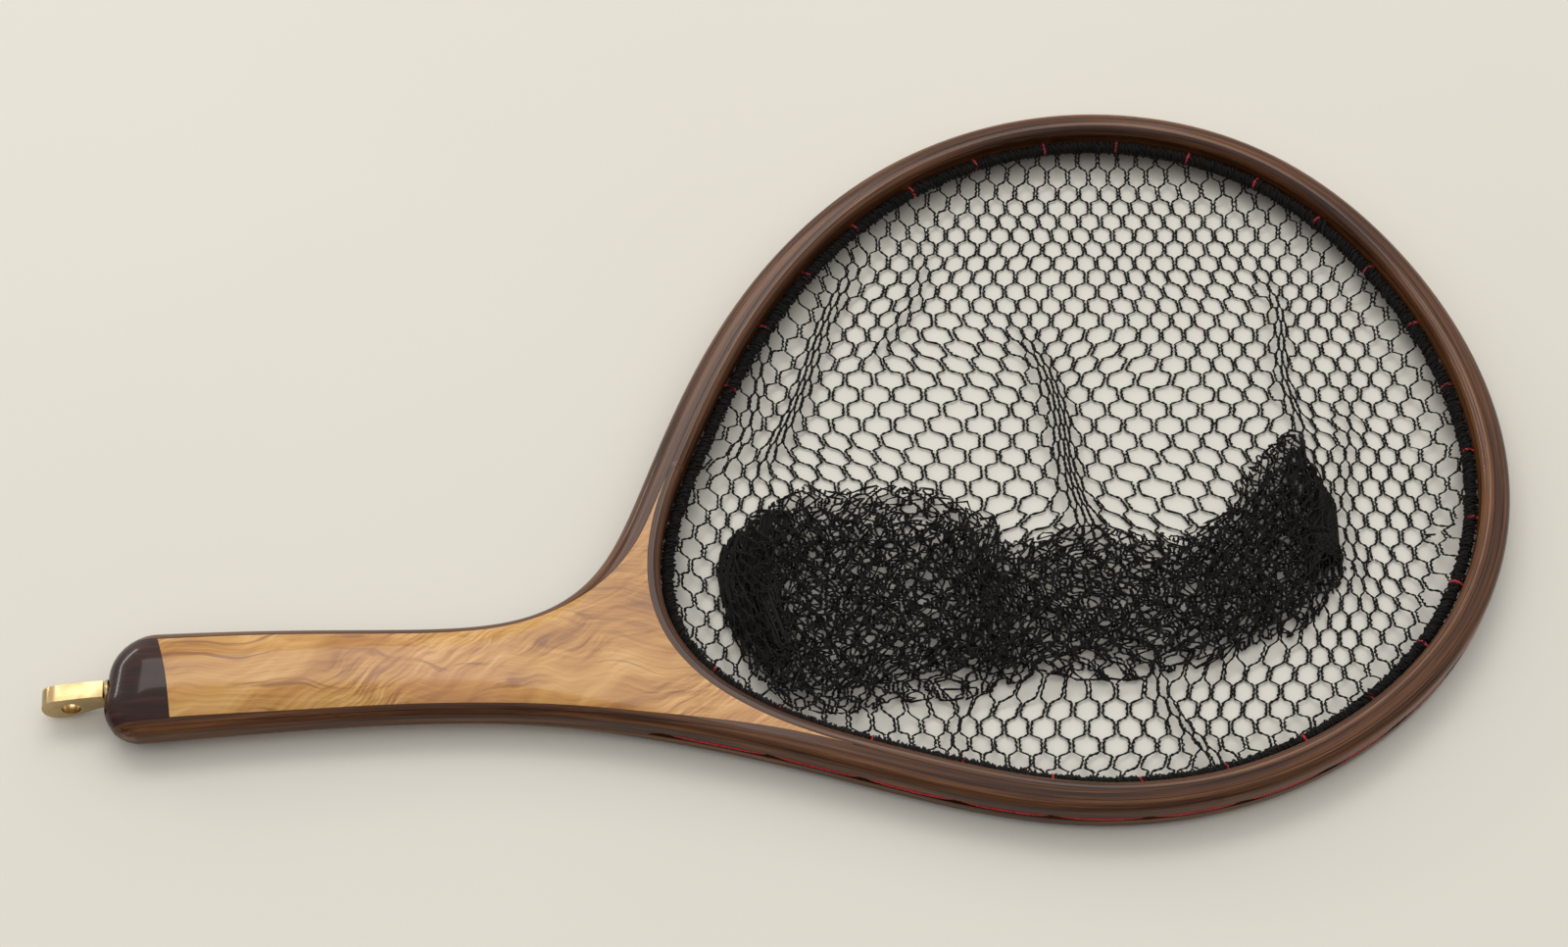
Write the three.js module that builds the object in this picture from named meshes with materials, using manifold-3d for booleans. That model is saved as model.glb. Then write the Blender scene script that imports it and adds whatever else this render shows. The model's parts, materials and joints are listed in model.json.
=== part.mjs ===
// Wooden hand landing net: a laminated hoop and handle, a swivelling brass lanyard eye,
// and a knotless net bag laced to the hoop.  Millimetres, +Z up, handle towards -X.
import * as THREE from 'three';
import { NURBSCurve } from 'three/addons/curves/NURBSCurve.js';
import * as BufferGeometryUtils from 'three/addons/utils/BufferGeometryUtils.js';
import Module from 'manifold-3d';

// ---------------------------------------------------------------- driving dimensions

// Control points of the frame's outer edge in plan, from the far corner of the butt,
// round the hoop, to the near corner of the butt.
const EDGE_CONTROL = [
  [-252, -83], [-208, -80], [-150, -80], [-98, -79], [-68, -58], [-54, -9], [-26, 73],
  [33, 151], [121, 188], [212, 168], [271, 92], [294, 0], [266, -88], [191, -149],
  [100, -163], [11, -134], [-75, -115], [-159, -117], [-223, -124], [-252, -127],
];
const EDGE_SPANS = EDGE_CONTROL.length - 3;
const STATIONS_PER_SPAN = 4;

const GLUE_LINE = 0.15;          // gap between glued pieces of wood
const HOOP_DEPTH = 17.5;         // thickness of the hoop and grip, floor to top
const BUTT_DEPTH = 21;           // thickness at the palm swell
const HOOP_ROUND = 4.5;          // edge rounding round the outside of the hoop
const GRIP_ROUND = 7;            // edge rounding along the grip
const BUTT_ROUND = 9;            // edge rounding round the butt
const CROWN = 2;                 // the handle's rounding is this much wider than it is deep
const INNER_ROUND = 3.2;         // edge rounding round the inside of the hoop
const BUTT_X = -251;             // end of the butt
const BUTT_CORNER = 16;          // plan radius of the butt's corners
const SWELL_START = -150;        // the palm swell grows from here ...
const SWELL_FULL = -225;         // ... to here
const HOOP_TIP_X = 286;

const OUTER_STACK_HOOP = 6.6;    // the two outer strips together, at the hoop
const OUTER_STACK_FORK = 8.4;    // at the two branches
const OUTER_STACK_GRIP = 3.7;    // sanded thinner along the grip
const OUTER_STACK_BUTT = 4.6;
const INNER_STACK = 4.6;         // the two inner strips together

const FAR_TIP_U = 4;             // edge parameter where the core's far point ends
const NEAR_TIP_U = 13.75;        // and its near point
const THROAT_FAR_REACH = 84;     // how hard the throat's curve is pulled from each tip
const THROAT_NEAR_REACH = 70;
const THROAT_STEPS = 12;

const GROOVE_WIDTH = 2.4;        // lacing groove in the hoop's outside
const GROOVE_DEPTH = 1.7;
const GROOVE_START_U = 4.25;
const GROOVE_END_U = 14.68;
const STITCH_COUNT = 26;
const FIRST_STITCH_U = 4.6;
const LAST_STITCH_U = 14.2;
const THROAT_HOLE_U = 14.64;     // near end of the groove, with a hole to the throat
const THROAT_HOLE_STATION = 7;   // which of the throat's bends it comes out at
const STITCH_HOLE_RADIUS = 1.75;
const THREAD_RADIUS = 0.55;
const BORDER_RADIUS = 1.8;       // border cord of the net
const BORDER_GAP = 0.8;          // between the wood and the border cord

const EYE_ANGLE = THREE.MathUtils.degToRad(8);   // the butt's own axis, in plan
const EYE_Y = -105.4;
const EYE_THICKNESS = 6.8;
const EYE_HOLE_RADIUS = 3.5;
const EYE_HOLE_AT = [14, -2.6];  // along the eye and up from the swivel's axis
const STEM_RADIUS = 2.5;
const STEM_LENGTH = 15;
const BUSH_BORE_RADIUS = 2.6;
const BUSH_RADIUS = 4;
const FLANGE_RADIUS = 5;
const BORE_DEPTH = 18;

const BAG_WALL = 1.6;            // thickness of the netting as it lies
const BAG_FLOOR = 0.5;           // lowest point of the bag above the ground
const FOLDS_TOP = 11.5;          // top of the folded end of the bag
const FOLDS_OUTLINE = [          // plan of the folded end, which lies on the bag's wall
  [-27, -56], [-21, -32], [-6, -17], [25, -12], [70, -19], [120, -29], [165, -22],
  [199, 10], [213, 6], [216, -45], [190, -76], [140, -92], [60, -102], [5, -103], [-21, -84],
];

// ---------------------------------------------------------------- colours

const WALNUT_DARK = { color: 0x3f261b, roughness: 0.22, metalness: 0 };
const WALNUT = { color: 0x5a3827, roughness: 0.22, metalness: 0 };
const BURL = { color: 0xcf9c5c, roughness: 0.2, metalness: 0 };
const ROSEWOOD = { color: 0x2e1512, roughness: 0.12, metalness: 0 };
const BRASS = { color: 0xc9a55a, roughness: 0.2, metalness: 1 };
const STEEL = { color: 0xa9a9a6, roughness: 0.35, metalness: 1 };
const NYLON_WHITE = { color: 0xe6e2d6, roughness: 0.5, metalness: 0 };
const NYLON_BLACK = { color: 0x151413, roughness: 0.8, metalness: 0 };
const NYLON_RED = { color: 0xb0141c, roughness: 0.6, metalness: 0 };

// ---------------------------------------------------------------- small helpers

const wasm = await Module();
wasm.setup();

const { lerp, smoothstep } = THREE.MathUtils;
const flat = (x, y) => new THREE.Vector2(x, y);

function named(name, geometry, look) {
  const mesh = new THREE.Mesh(geometry, new THREE.MeshStandardMaterial(look));
  mesh.name = name;
  return mesh;
}

function signedVolume(geometry) {
  const p = geometry.attributes.position;
  const index = geometry.index;
  const [a, b, c] = [new THREE.Vector3(), new THREE.Vector3(), new THREE.Vector3()];
  let total = 0;
  for (let i = 0; i < index.count; i += 3) {
    a.fromBufferAttribute(p, index.getX(i));
    b.fromBufferAttribute(p, index.getX(i + 1));
    c.fromBufferAttribute(p, index.getX(i + 2));
    total += a.dot(b.cross(c)) / 6;
  }
  return total;
}

function faceOutwards(geometry) {
  if (signedVolume(geometry) < 0) {
    const index = geometry.index;
    for (let i = 0; i < index.count; i += 3) {
      const kept = index.getX(i + 1);
      index.setX(i + 1, index.getX(i + 2));
      index.setX(i + 2, kept);
    }
  }
  return geometry;
}

// Skins a row of closed rings, each a list of the same number of points.
function loft(rings, closed = false) {
  const size = rings[0].length;
  const index = [];
  const last = closed ? rings.length : rings.length - 1;
  for (let i = 0; i < last; i++) {
    const a = i * size;
    const b = ((i + 1) % rings.length) * size;
    for (let j = 0; j < size; j++) {
      const k = (j + 1) % size;
      index.push(a + j, a + k, b + k, a + j, b + k, b + j);
    }
  }
  const points = rings.flat();
  if (!closed) {
    addCap(points, index, rings[0], 0, true);
    addCap(points, index, rings.at(-1), (rings.length - 1) * size, false);
  }
  const geometry = new THREE.BufferGeometry().setFromPoints(points);
  geometry.setIndex(index);
  return faceOutwards(geometry);
}

function addCap(points, index, ring, start, reversed) {
  const centre = new THREE.Vector3();
  ring.forEach((p) => centre.addScaledVector(p, 1 / ring.length));
  const middle = points.push(centre) - 1;
  for (let j = 0; j < ring.length; j++) {
    const k = (j + 1) % ring.length;
    const pair = reversed ? [start + k, start + j] : [start + j, start + k];
    index.push(middle, ...pair);
  }
}

function toSolid(geometry) {
  const bare = geometry.clone();
  bare.deleteAttribute('normal');
  bare.deleteAttribute('uv');
  const merged = BufferGeometryUtils.mergeVertices(bare, 1e-4);
  const vertProperties = new Float32Array(merged.attributes.position.array);
  const triVerts = new Uint32Array(merged.index.array);
  return new wasm.Manifold(new wasm.Mesh({ numProp: 3, vertProperties, triVerts }));
}

function toGeometry(solid) {
  const mesh = solid.getMesh();
  const geometry = new THREE.BufferGeometry();
  geometry.setAttribute('position', new THREE.BufferAttribute(mesh.vertProperties, 3));
  geometry.setIndex(new THREE.BufferAttribute(mesh.triVerts, 1));
  return geometry;
}

// A closed solid of revolution about local X; outline is [along, radius] pairs.
function turned(outline, sides) {
  const profile = outline.map(([along, radius]) => flat(radius, along));
  const geometry = new THREE.LatheGeometry(profile, sides);
  geometry.rotateZ(-Math.PI / 2);
  return geometry;
}

// ---------------------------------------------------------------- plan of the frame

function clampedKnots(spans) {
  const inner = Array.from({ length: spans + 1 }, (_, i) => i / spans);
  return [0, 0, 0, ...inner, 1, 1, 1];
}

const edgeCurve = new NURBSCurve(
  3,
  clampedKnots(EDGE_SPANS),
  EDGE_CONTROL.map(([x, y]) => new THREE.Vector4(x, y, 0, 1)),
);

// A point of the outer edge, u counted in spans, moved inwards by an offset.
function edgePoint(u, offset = 0) {
  const t = THREE.MathUtils.clamp(u / EDGE_SPANS, 0, 1);
  const p = edgeCurve.getPoint(t);
  const step = 1e-4;
  const before = edgeCurve.getPoint(Math.max(t - step, 0));
  const after = edgeCurve.getPoint(Math.min(t + step, 1));
  const along = flat(after.x - before.x, after.y - before.y).normalize();
  return flat(p.x + along.y * offset, p.y - along.x * offset);
}

// Edge parameter where one side of the handle passes a given x.
function edgeParameterAt(x, far) {
  let low = far ? 0 : EDGE_SPANS - 5;
  let high = far ? 7 : EDGE_SPANS;
  for (let i = 0; i < 40; i++) {
    const middle = (low + high) / 2;
    const isHandleSide = far ? edgePoint(middle).x < x : edgePoint(middle).x > x;
    if (isHandleSide) low = middle;
    else high = middle;
  }
  return (low + high) / 2;
}

function outerStack(u) {
  const far = smoothstep(u, 2.2, 3.5);
  const near = 1 - smoothstep(u, 13.95, 14.9);
  const towardsFork = far * near;
  const towardsTip = smoothstep(u, 4.2, 7) * (1 - smoothstep(u, 12.3, 13.8));
  const hoop = lerp(OUTER_STACK_FORK, OUTER_STACK_HOOP, towardsTip);
  const x = edgePoint(u).x;
  const grip = lerp(OUTER_STACK_GRIP, OUTER_STACK_BUTT, 1 - smoothstep(x, -235, -170));
  return lerp(grip, hoop, towardsFork);
}

// ---------------------------------------------------------------- side view

const swell = (x) => 1 - smoothstep(x, SWELL_FULL, SWELL_START);
const halfDepth = (x) => lerp(HOOP_DEPTH, BUTT_DEPTH, swell(x)) / 2;

// The frame rests on its butt and on the hoop's tip, so its middle plane slopes.
function centreHeight(x) {
  const along = THREE.MathUtils.clamp((x - SWELL_FULL) / (HOOP_TIP_X - SWELL_FULL), 0, 1);
  return lerp(BUTT_DEPTH / 2, HOOP_DEPTH / 2, along);
}

function outerRound(x) {
  const grip = lerp(GRIP_ROUND, HOOP_ROUND, smoothstep(x, -110, -20));
  return lerp(grip, BUTT_ROUND, swell(x));
}

// Along the handle the rounding reaches further in than it goes down.
const roundReach = (x) => outerRound(x) * lerp(CROWN, 1, smoothstep(x, -130, -50));

// How far a rounded edge falls below the flat face, at a distance in from the edge.
function roundOver(distance, fall, reach = fall) {
  const short = 1 - THREE.MathUtils.clamp(distance / reach, 0, 1);
  return fall * (1 - Math.sqrt(Math.max(1 - short * short, 0)));
}

// Distance in from the outer edge, with the butt's end and its rounded corners.
function insideDistance(fromSide, x) {
  const fromEnd = x - BUTT_X;
  if (fromSide > BUTT_CORNER || fromEnd > BUTT_CORNER) return Math.min(fromSide, fromEnd);
  return BUTT_CORNER - Math.hypot(BUTT_CORNER - fromSide, BUTT_CORNER - fromEnd);
}

function surfacePair(x, y, fromSide, fromInside = 100) {
  const drop = roundOver(insideDistance(fromSide, x), outerRound(x), roundReach(x))
    + roundOver(fromInside, INNER_ROUND);
  const half = halfDepth(x) - drop;
  const middle = centreHeight(x);
  return [new THREE.Vector3(x, y, middle + half), new THREE.Vector3(x, y, middle - half)];
}

// A closed ring from pairs of top and bottom points.
function ringOf(pairs) {
  const tops = pairs.map(([top]) => top);
  const bottoms = pairs.map(([, bottom]) => bottom).reverse();
  return [...tops, ...bottoms];
}

// ---------------------------------------------------------------- laminated strips

// How far the butt's rounded corner eats into a strip that ends there.
function cornerCut(x) {
  const fromEnd = Math.max(x - BUTT_X, 0);
  if (fromEnd >= BUTT_CORNER) return 0;
  return BUTT_CORNER - Math.sqrt(BUTT_CORNER ** 2 - (BUTT_CORNER - fromEnd) ** 2);
}

function endDistanceWhereCutIs(width) {
  return BUTT_CORNER - Math.sqrt(BUTT_CORNER ** 2 - (BUTT_CORNER - width) ** 2);
}

function stripStations(innerFace) {
  const endX = BUTT_X + endDistanceWhereCutIs(innerFace - 0.35);
  const leadX = [endX, lerp(endX, BUTT_X + BUTT_CORNER, 0.4), BUTT_X + BUTT_CORNER];
  const far = leadX.map((x) => edgeParameterAt(x, true));
  const near = leadX.map((x) => edgeParameterAt(x, false)).reverse();
  const middle = [];
  for (let i = 0; i <= EDGE_SPANS * STATIONS_PER_SPAN; i++) {
    const u = i / STATIONS_PER_SPAN;
    if (u > far[2] + 0.1 && u < near[0] - 0.1) middle.push(u);
  }
  return [...far, ...middle, ...near];
}

// An outer strip, between two fractions of the outer stack's width.
function outerStrip(from, to, across) {
  const stations = stripStations(OUTER_STACK_BUTT * to);
  const rings = stations.map((u) => {
    const width = outerStack(u);
    const atEdge = edgePoint(u);
    const start = Math.max(width * from + (from > 0 ? GLUE_LINE : 0), cornerCut(atEdge.x));
    const end = Math.max(width * to, start + 0.3);
    return ringOf(across.map((f) => {
      const offset = lerp(start, end, f);
      const p = edgePoint(u, offset);
      return surfacePair(p.x, p.y, offset);
    }));
  });
  return loft(rings);
}

// The closed loop that the inner strips are bent round: parallel to the outer edge
// round the hoop, then across the throat in one sweep.
function innerLoop() {
  const loop = [];
  for (let u = FAR_TIP_U; u <= NEAR_TIP_U; u += 1 / STATIONS_PER_SPAN) {
    const offset = outerStack(u) + GLUE_LINE;
    loop.push({ point: edgePoint(u, offset), fromSide: offset });
  }
  return [...loop, ...throatStations(loop)];
}

function throatStations(loop) {
  const near = loop.at(-1).point;
  const far = loop[0].point;
  const nearAlong = near.clone().sub(loop.at(-2).point).normalize();
  const farAlong = far.clone().sub(loop[1].point).normalize();
  const curve = new THREE.CubicBezierCurve(
    near,
    near.clone().addScaledVector(nearAlong, THROAT_NEAR_REACH),
    far.clone().addScaledVector(farAlong, THROAT_FAR_REACH),
    far,
  );
  const stations = [];
  for (let i = 1; i < THROAT_STEPS; i++) {
    stations.push({ point: curve.getPoint(i / THROAT_STEPS), fromSide: 100 });
  }
  return stations;
}

const LOOP = innerLoop();
const BORDER_OFFSET = INNER_STACK + BORDER_GAP + BORDER_RADIUS;

// Unit normals of the loop, pointing into the hoop.
const LOOP_NORMALS = LOOP.map((_, i) => {
  const before = LOOP.at(i - 1).point;
  const after = LOOP[(i + 1) % LOOP.length].point;
  const along = after.clone().sub(before).normalize();
  return flat(along.y, -along.x);
});

function loopPoint(i, offset) {
  return LOOP[i].point.clone().addScaledVector(LOOP_NORMALS[i], offset);
}

function innerStrip(from, to, across) {
  const rings = LOOP.map((station, i) => ringOf(across.map((f) => {
    const offset = lerp(from, to, f);
    const p = loopPoint(i, offset);
    return surfacePair(p.x, p.y, station.fromSide + offset, INNER_STACK - offset);
  })));
  return loft(rings, true);
}

// ---------------------------------------------------------------- core and butt cap

const CAP_JOINT_FAR_X = -234;
const CAP_JOINT_NEAR_X = -224;
const CAP_JOINT_BULGE = 1.2;

// Both sides of the handle and the branches, as closely spaced points.
const SIDE_POINTS = Array.from({ length: EDGE_SPANS * 24 + 1 }, (_, i) => i / 24)
  .filter((u) => u < FAR_TIP_U + 1 || u > NEAR_TIP_U - 1)
  .map((u) => edgePoint(u));

function fromNearestSide(p) {
  return SIDE_POINTS.reduce((best, side) => Math.min(best, p.distanceTo(side)), Infinity);
}

// The inner face of the outer strips, with room for the glue.
function stackFace(u) {
  return edgePoint(u, outerStack(u) + GLUE_LINE);
}

function handleSide(far, x) {
  return stackFace(edgeParameterAt(x, far));
}

function capJoint(f) {
  const far = handleSide(true, CAP_JOINT_FAR_X);
  const near = handleSide(false, CAP_JOINT_NEAR_X);
  const p = far.clone().lerp(near, f);
  p.x += CAP_JOINT_BULGE * 4 * f * (1 - f);
  return p;
}

// One side of the core: the joint with the cap, the strips' stations, then the point
// where the core runs out between the outer and the inner strips.
function coreSide(far) {
  const step = far ? 1 / STATIONS_PER_SPAN : -1 / STATIONS_PER_SPAN;
  const start = edgeParameterAt(far ? CAP_JOINT_FAR_X : CAP_JOINT_NEAR_X, far);
  const end = far ? FAR_TIP_U : NEAR_TIP_U;
  const side = [];
  for (let u = end - step; (u - start) * step > 0.02; u -= step) side.unshift(stackFace(u));
  const throatNeighbour = far ? LOOP.length - 1 : LOOP.length - THROAT_STEPS + 1;
  const inside = loopPoint(throatNeighbour, -GLUE_LINE);
  const tip = side.at(-1).clone().add(inside).multiplyScalar(0.5);
  tip.lerp(stackFace(end), 0.5);
  return [stackFace(start), ...side, tip];
}

// The core's plan: the joint with the cap, the two sides inside the outer strips, and
// the throat inside the inner strips.
function coreOutline() {
  const joint = [0.25, 0.5, 0.75].map(capJoint);
  const throat = [];
  for (let i = 1; i < THROAT_STEPS; i++) throat.push(loopPoint(LOOP.length - i, -GLUE_LINE));
  return [...joint, ...coreSide(false), ...throat.reverse(), ...coreSide(true).reverse()];
}

function corePrism() {
  const depth = 2 * BUTT_DEPTH;
  const prism = new THREE.ExtrudeGeometry(new THREE.Shape(coreOutline()), {
    depth, bevelEnabled: false,
  });
  prism.translate(0, 0, -BUTT_DEPTH / 2);
  return prism;
}

// The handle's whole rounded form, a little longer than the core.
function handleForm() {
  const across = [0, 0.06, 0.12, 0.2, 0.3, 0.4, 0.5, 0.6, 0.7, 0.8, 0.88, 0.94, 1];
  const rows = [-240, -225, -210, -195, -180, -165, -150, -120, -90, -60, 30];
  return plateOver(rows.map((x) => {
    const far = edgePoint(edgeParameterAt(x, true));
    const near = edgePoint(edgeParameterAt(x, false));
    return across.map((f) => far.clone().lerp(near, f));
  }));
}

// A plate under a grid of plan points, with the handle's rounded top and bottom.
function plateOver(grid) {
  const wide = grid[0].length;
  const pairs = grid.flat().map((p) => surfacePair(p.x, p.y, fromNearestSide(p)));
  const tops = pairs.map(([top]) => top);
  const bottoms = pairs.map(([, bottom]) => bottom);
  const shift = tops.length;
  const index = [];
  for (let r = 0; r < grid.length - 1; r++) {
    for (let c = 0; c < wide - 1; c++) {
      const a = r * wide + c;
      index.push(a, a + 1, a + wide + 1, a, a + wide + 1, a + wide);
      index.push(shift + a, shift + a + wide + 1, shift + a + 1);
      index.push(shift + a, shift + a + wide, shift + a + wide + 1);
    }
  }
  const rim = plateRim(grid.length - 1, wide - 1);
  rim.forEach((a, i) => {
    const b = rim[(i + 1) % rim.length];
    index.push(a, shift + b, b, a, shift + a, shift + b);
  });
  const geometry = new THREE.BufferGeometry().setFromPoints([...tops, ...bottoms]);
  geometry.setIndex(index);
  return faceOutwards(geometry);
}

// The grid's outside points, in order round it.
function plateRim(rows, columns) {
  const wide = columns + 1;
  const rim = [];
  for (let c = 0; c < columns; c++) rim.push(c);
  for (let r = 0; r < rows; r++) rim.push(r * wide + columns);
  for (let c = columns; c > 0; c--) rim.push(rows * wide + c);
  for (let r = rows; r > 0; r--) rim.push(r * wide);
  return rim;
}

function cornerCutAt(fromSide) {
  if (fromSide >= BUTT_CORNER) return 0;
  return BUTT_CORNER - Math.sqrt(BUTT_CORNER ** 2 - (BUTT_CORNER - fromSide) ** 2);
}

function capPoint(f, v) {
  const width = handleSide(true, BUTT_X + 8).distanceTo(handleSide(false, BUTT_X + 8));
  const fromSide = OUTER_STACK_BUTT + GLUE_LINE + width * Math.min(f, 1 - f);
  const endX = BUTT_X + cornerCutAt(fromSide);
  const x = lerp(endX, capJoint(f).x - GLUE_LINE, v ** 1.6);
  return flat(x, lerp(handleSide(true, x).y, handleSide(false, x).y, f));
}

function capGrid(columns, rows) {
  return Array.from({ length: rows + 1 }, (_, r) => (
    Array.from({ length: columns + 1 }, (__, c) => capPoint(c / columns, r / rows))
  ));
}

// ---------------------------------------------------------------- stitches and groove

// Edge parameters of the stitches, at an even pitch along the hoop's outside.
function stitchParameters() {
  const samples = [];
  let length = 0;
  let last = edgePoint(FIRST_STITCH_U);
  for (let i = 0; i <= 1000; i++) {
    const u = lerp(FIRST_STITCH_U, LAST_STITCH_U, i / 1000);
    const p = edgePoint(u);
    length += p.distanceTo(last);
    last = p;
    samples.push({ u, length });
  }
  return Array.from({ length: STITCH_COUNT }, (_, i) => {
    const wanted = (length * i) / (STITCH_COUNT - 1);
    return samples.find((s) => s.length >= wanted - 1e-6).u;
  });
}

const STITCHES = stitchParameters();

// A plan frame on the outer edge: u along it, offset inwards, up from the middle plane.
function hoopPoint(u, offset, up, shift = 0) {
  const p = edgePoint(u, offset);
  const ahead = edgePoint(u + 0.01, offset).sub(edgePoint(u - 0.01, offset)).normalize();
  p.addScaledVector(ahead, shift);
  return new THREE.Vector3(p.x, p.y, centreHeight(p.x) + up);
}

// A round bar between two points.
function bar(from, to, radius, sides) {
  const along = to.clone().sub(from);
  const geometry = new THREE.CylinderGeometry(radius, radius, along.length(), sides);
  const turn = new THREE.Quaternion();
  turn.setFromUnitVectors(new THREE.Vector3(0, 1, 0), along.clone().normalize());
  geometry.applyQuaternion(turn);
  geometry.translate(...from.clone().add(to).multiplyScalar(0.5).toArray());
  return geometry;
}

function throatHole() {
  const outside = hoopPoint(THROAT_HOLE_U, 0, 0);
  const station = LOOP.length - THROAT_HOLE_STATION;
  const p = loopPoint(station, INNER_STACK);
  const inside = new THREE.Vector3(p.x, p.y, centreHeight(p.x));
  return { outside, inside, station, along: inside.clone().sub(outside).normalize() };
}

const THROAT_HOLE = throatHole();

function drilledHoles() {
  const drill = [STITCH_HOLE_RADIUS, 6];
  const holes = STITCHES.map((u) => toSolid(
    bar(hoopPoint(u, -2, 0), hoopPoint(u, depthToLoop(u, INNER_STACK) + 2, 0), ...drill),
  ));
  const { outside, inside, along } = THROAT_HOLE;
  const start = outside.clone().addScaledVector(along, -3);
  const end = inside.clone().addScaledVector(along, 4);
  holes.push(toSolid(bar(start, end, ...drill)));
  return holes.reduce((all, hole) => all.add(hole));
}

function groove() {
  const rings = [];
  const half = GROOVE_WIDTH / 2;
  const steps = Math.ceil((GROOVE_END_U - GROOVE_START_U) * STATIONS_PER_SPAN);
  for (let i = 0; i <= steps; i++) {
    const u = Math.min(GROOVE_START_U + i / STATIONS_PER_SPAN, GROOVE_END_U);
    rings.push([
      hoopPoint(u, -1.5, half), hoopPoint(u, GROOVE_DEPTH, half),
      hoopPoint(u, GROOVE_DEPTH, -half), hoopPoint(u, -1.5, -half),
    ]);
  }
  return toSolid(loft(rings));
}

// ---------------------------------------------------------------- cords

// A curve that goes through each of its points, one step of the parameter apart.
class Route extends THREE.Curve {
  constructor(points) {
    super();
    this.points = points;
  }

  getPoint(t, target = new THREE.Vector3()) {
    const place = t * (this.points.length - 1);
    const i = Math.min(Math.floor(place + 1e-6), this.points.length - 2);
    return target.copy(this.points[i]).lerp(this.points[i + 1], place - i);
  }

  getPointAt(t, target) {
    return this.getPoint(t, target);
  }

  getTangentAt(t, target = new THREE.Vector3()) {
    const i = Math.round(t * (this.points.length - 1));
    const before = this.points[Math.max(i - 1, 0)];
    const here = this.points[i];
    const after = this.points[Math.min(i + 1, this.points.length - 1)];
    const arriving = here.clone().sub(before).normalize();
    const leaving = after.clone().sub(here).normalize();
    return target.copy(arriving).add(leaving).normalize();
  }
}

function cordAlong(points, radius, sides) {
  const section = new THREE.Shape();
  for (let i = 0; i < sides; i++) {
    const angle = (2 * Math.PI * i) / sides;
    const corner = [radius * Math.cos(angle), radius * Math.sin(angle)];
    if (i === 0) section.moveTo(...corner);
    else section.lineTo(...corner);
  }
  const extrudePath = new Route(points);
  const steps = points.length - 1;
  const extruded = new THREE.ExtrudeGeometry(section, { steps, extrudePath });
  extruded.deleteAttribute('normal');
  extruded.deleteAttribute('uv');
  return faceOutwards(BufferGeometryUtils.mergeVertices(extruded, 1e-4));
}

function borderRoute() {
  const start = LOOP.length - 2;
  const count = LOOP.length;
  const points = [];
  for (let i = 0; i < count; i++) {
    const p = loopPoint((start + i) % count, BORDER_OFFSET);
    points.push(new THREE.Vector3(p.x, p.y, centreHeight(p.x)));
  }
  const gap = points[0].clone().sub(points.at(-1)).setLength(1);
  points.push(points[0].clone().sub(gap));
  return points;
}

// One turn of the lacing round the border cord, as [inwards, up] from the hole's mouth.
function turnRoundBorder(cordOffset) {
  const reach = (BORDER_RADIUS + THREAD_RADIUS + 0.12) / Math.cos(Math.PI / 6);
  return [120, 60, 0, -60, -120].map((degrees) => {
    const angle = THREE.MathUtils.degToRad(degrees);
    return [cordOffset + reach * Math.cos(angle), reach * Math.sin(angle)];
  });
}

// How far in from the outer edge a line square to it comes to an offset of the loop.
function depthToLoop(u, offset) {
  const start = edgePoint(u);
  const inwards = edgePoint(u, 1).sub(start);
  for (let i = 0; i < LOOP.length; i++) {
    const a = loopPoint(i, offset).sub(start);
    const b = loopPoint((i + 1) % LOOP.length, offset).sub(start);
    const [sideA, sideB] = [inwards.cross(a), inwards.cross(b)];
    const depth = lerp(a.dot(inwards), b.dot(inwards), sideA / (sideA - sideB));
    if (sideA * sideB <= 0 && depth > 0 && depth < 60) return depth;
  }
  return outerStack(u) + offset;
}

function stitchPoints(u) {
  const wood = depthToLoop(u, INNER_STACK);
  const cord = depthToLoop(u, BORDER_OFFSET);
  const path = [
    [3, 0.72], [wood + 0.35, 0.85], ...turnRoundBorder(cord), [wood + 0.35, -0.85], [3, -0.72],
  ];
  return [
    hoopPoint(u, 1.05, 0.5, -0.55),
    ...path.map(([offset, up]) => hoopPoint(u, offset, up)),
    hoopPoint(u, 1.05, -0.5, 0.55),
  ];
}

// The lacing: a tail in the far end of the groove, a stitch at every hole, then through
// the handle's core to the throat, round the border cord and back into its hole.
function lacingRoute() {
  const inGroove = (u) => hoopPoint(u, 0.9, 0);
  const points = [inGroove(GROOVE_START_U + 0.1)];
  const farLead = lerp(GROOVE_START_U, STITCHES[0], 0.6);
  points.push(inGroove(farLead));
  STITCHES.forEach((u, i) => {
    points.push(...stitchPoints(u));
    const next = STITCHES[i + 1] ?? THROAT_HOLE_U;
    points.push(inGroove(lerp(u, next, 0.33)), inGroove(lerp(u, next, 0.67)));
  });
  return [...points, ...throatStitch()];
}

function throatStitch() {
  const { outside, inside, along, station } = THROAT_HOLE;
  const up = new THREE.Vector3(0, 0, 1);
  const inwards = LOOP_NORMALS[station];
  const slant = along.x * inwards.x + along.y * inwards.y;
  const toCord = (BORDER_GAP + BORDER_RADIUS) / slant;
  const cordCentre = inside.clone().addScaledVector(along, toCord);
  const at = (base, forwards, height) => base.clone()
    .addScaledVector(along, forwards).addScaledVector(up, height);
  return [
    at(outside, 1.2, 0.3), at(outside, 4, 0.7), at(inside, 0.35, 0.85),
    ...turnRoundBorder(0).map(([forwards, height]) => at(cordCentre, forwards, height)),
    at(inside, 0.35, -0.85), at(inside, -8, -0.72),
  ];
}

// ---------------------------------------------------------------- swivelling eye

// Drawn in the eye's own frame: +X out of the butt, +Z up, on the swivel's axis.
function tonguePlan() {
  const shape = new THREE.Shape();
  shape.moveTo(2, 3.2);
  shape.lineTo(18, 3.4);
  shape.bezierCurveTo(22.6, 3.2, 23.6, 0.4, 23.4, -2.4);
  shape.bezierCurveTo(23.1, -5.8, 20.6, -7.4, 17.2, -7.2);
  shape.bezierCurveTo(11, -6.6, 7, -3.6, 2, -3.4);
  return shape;
}

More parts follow.
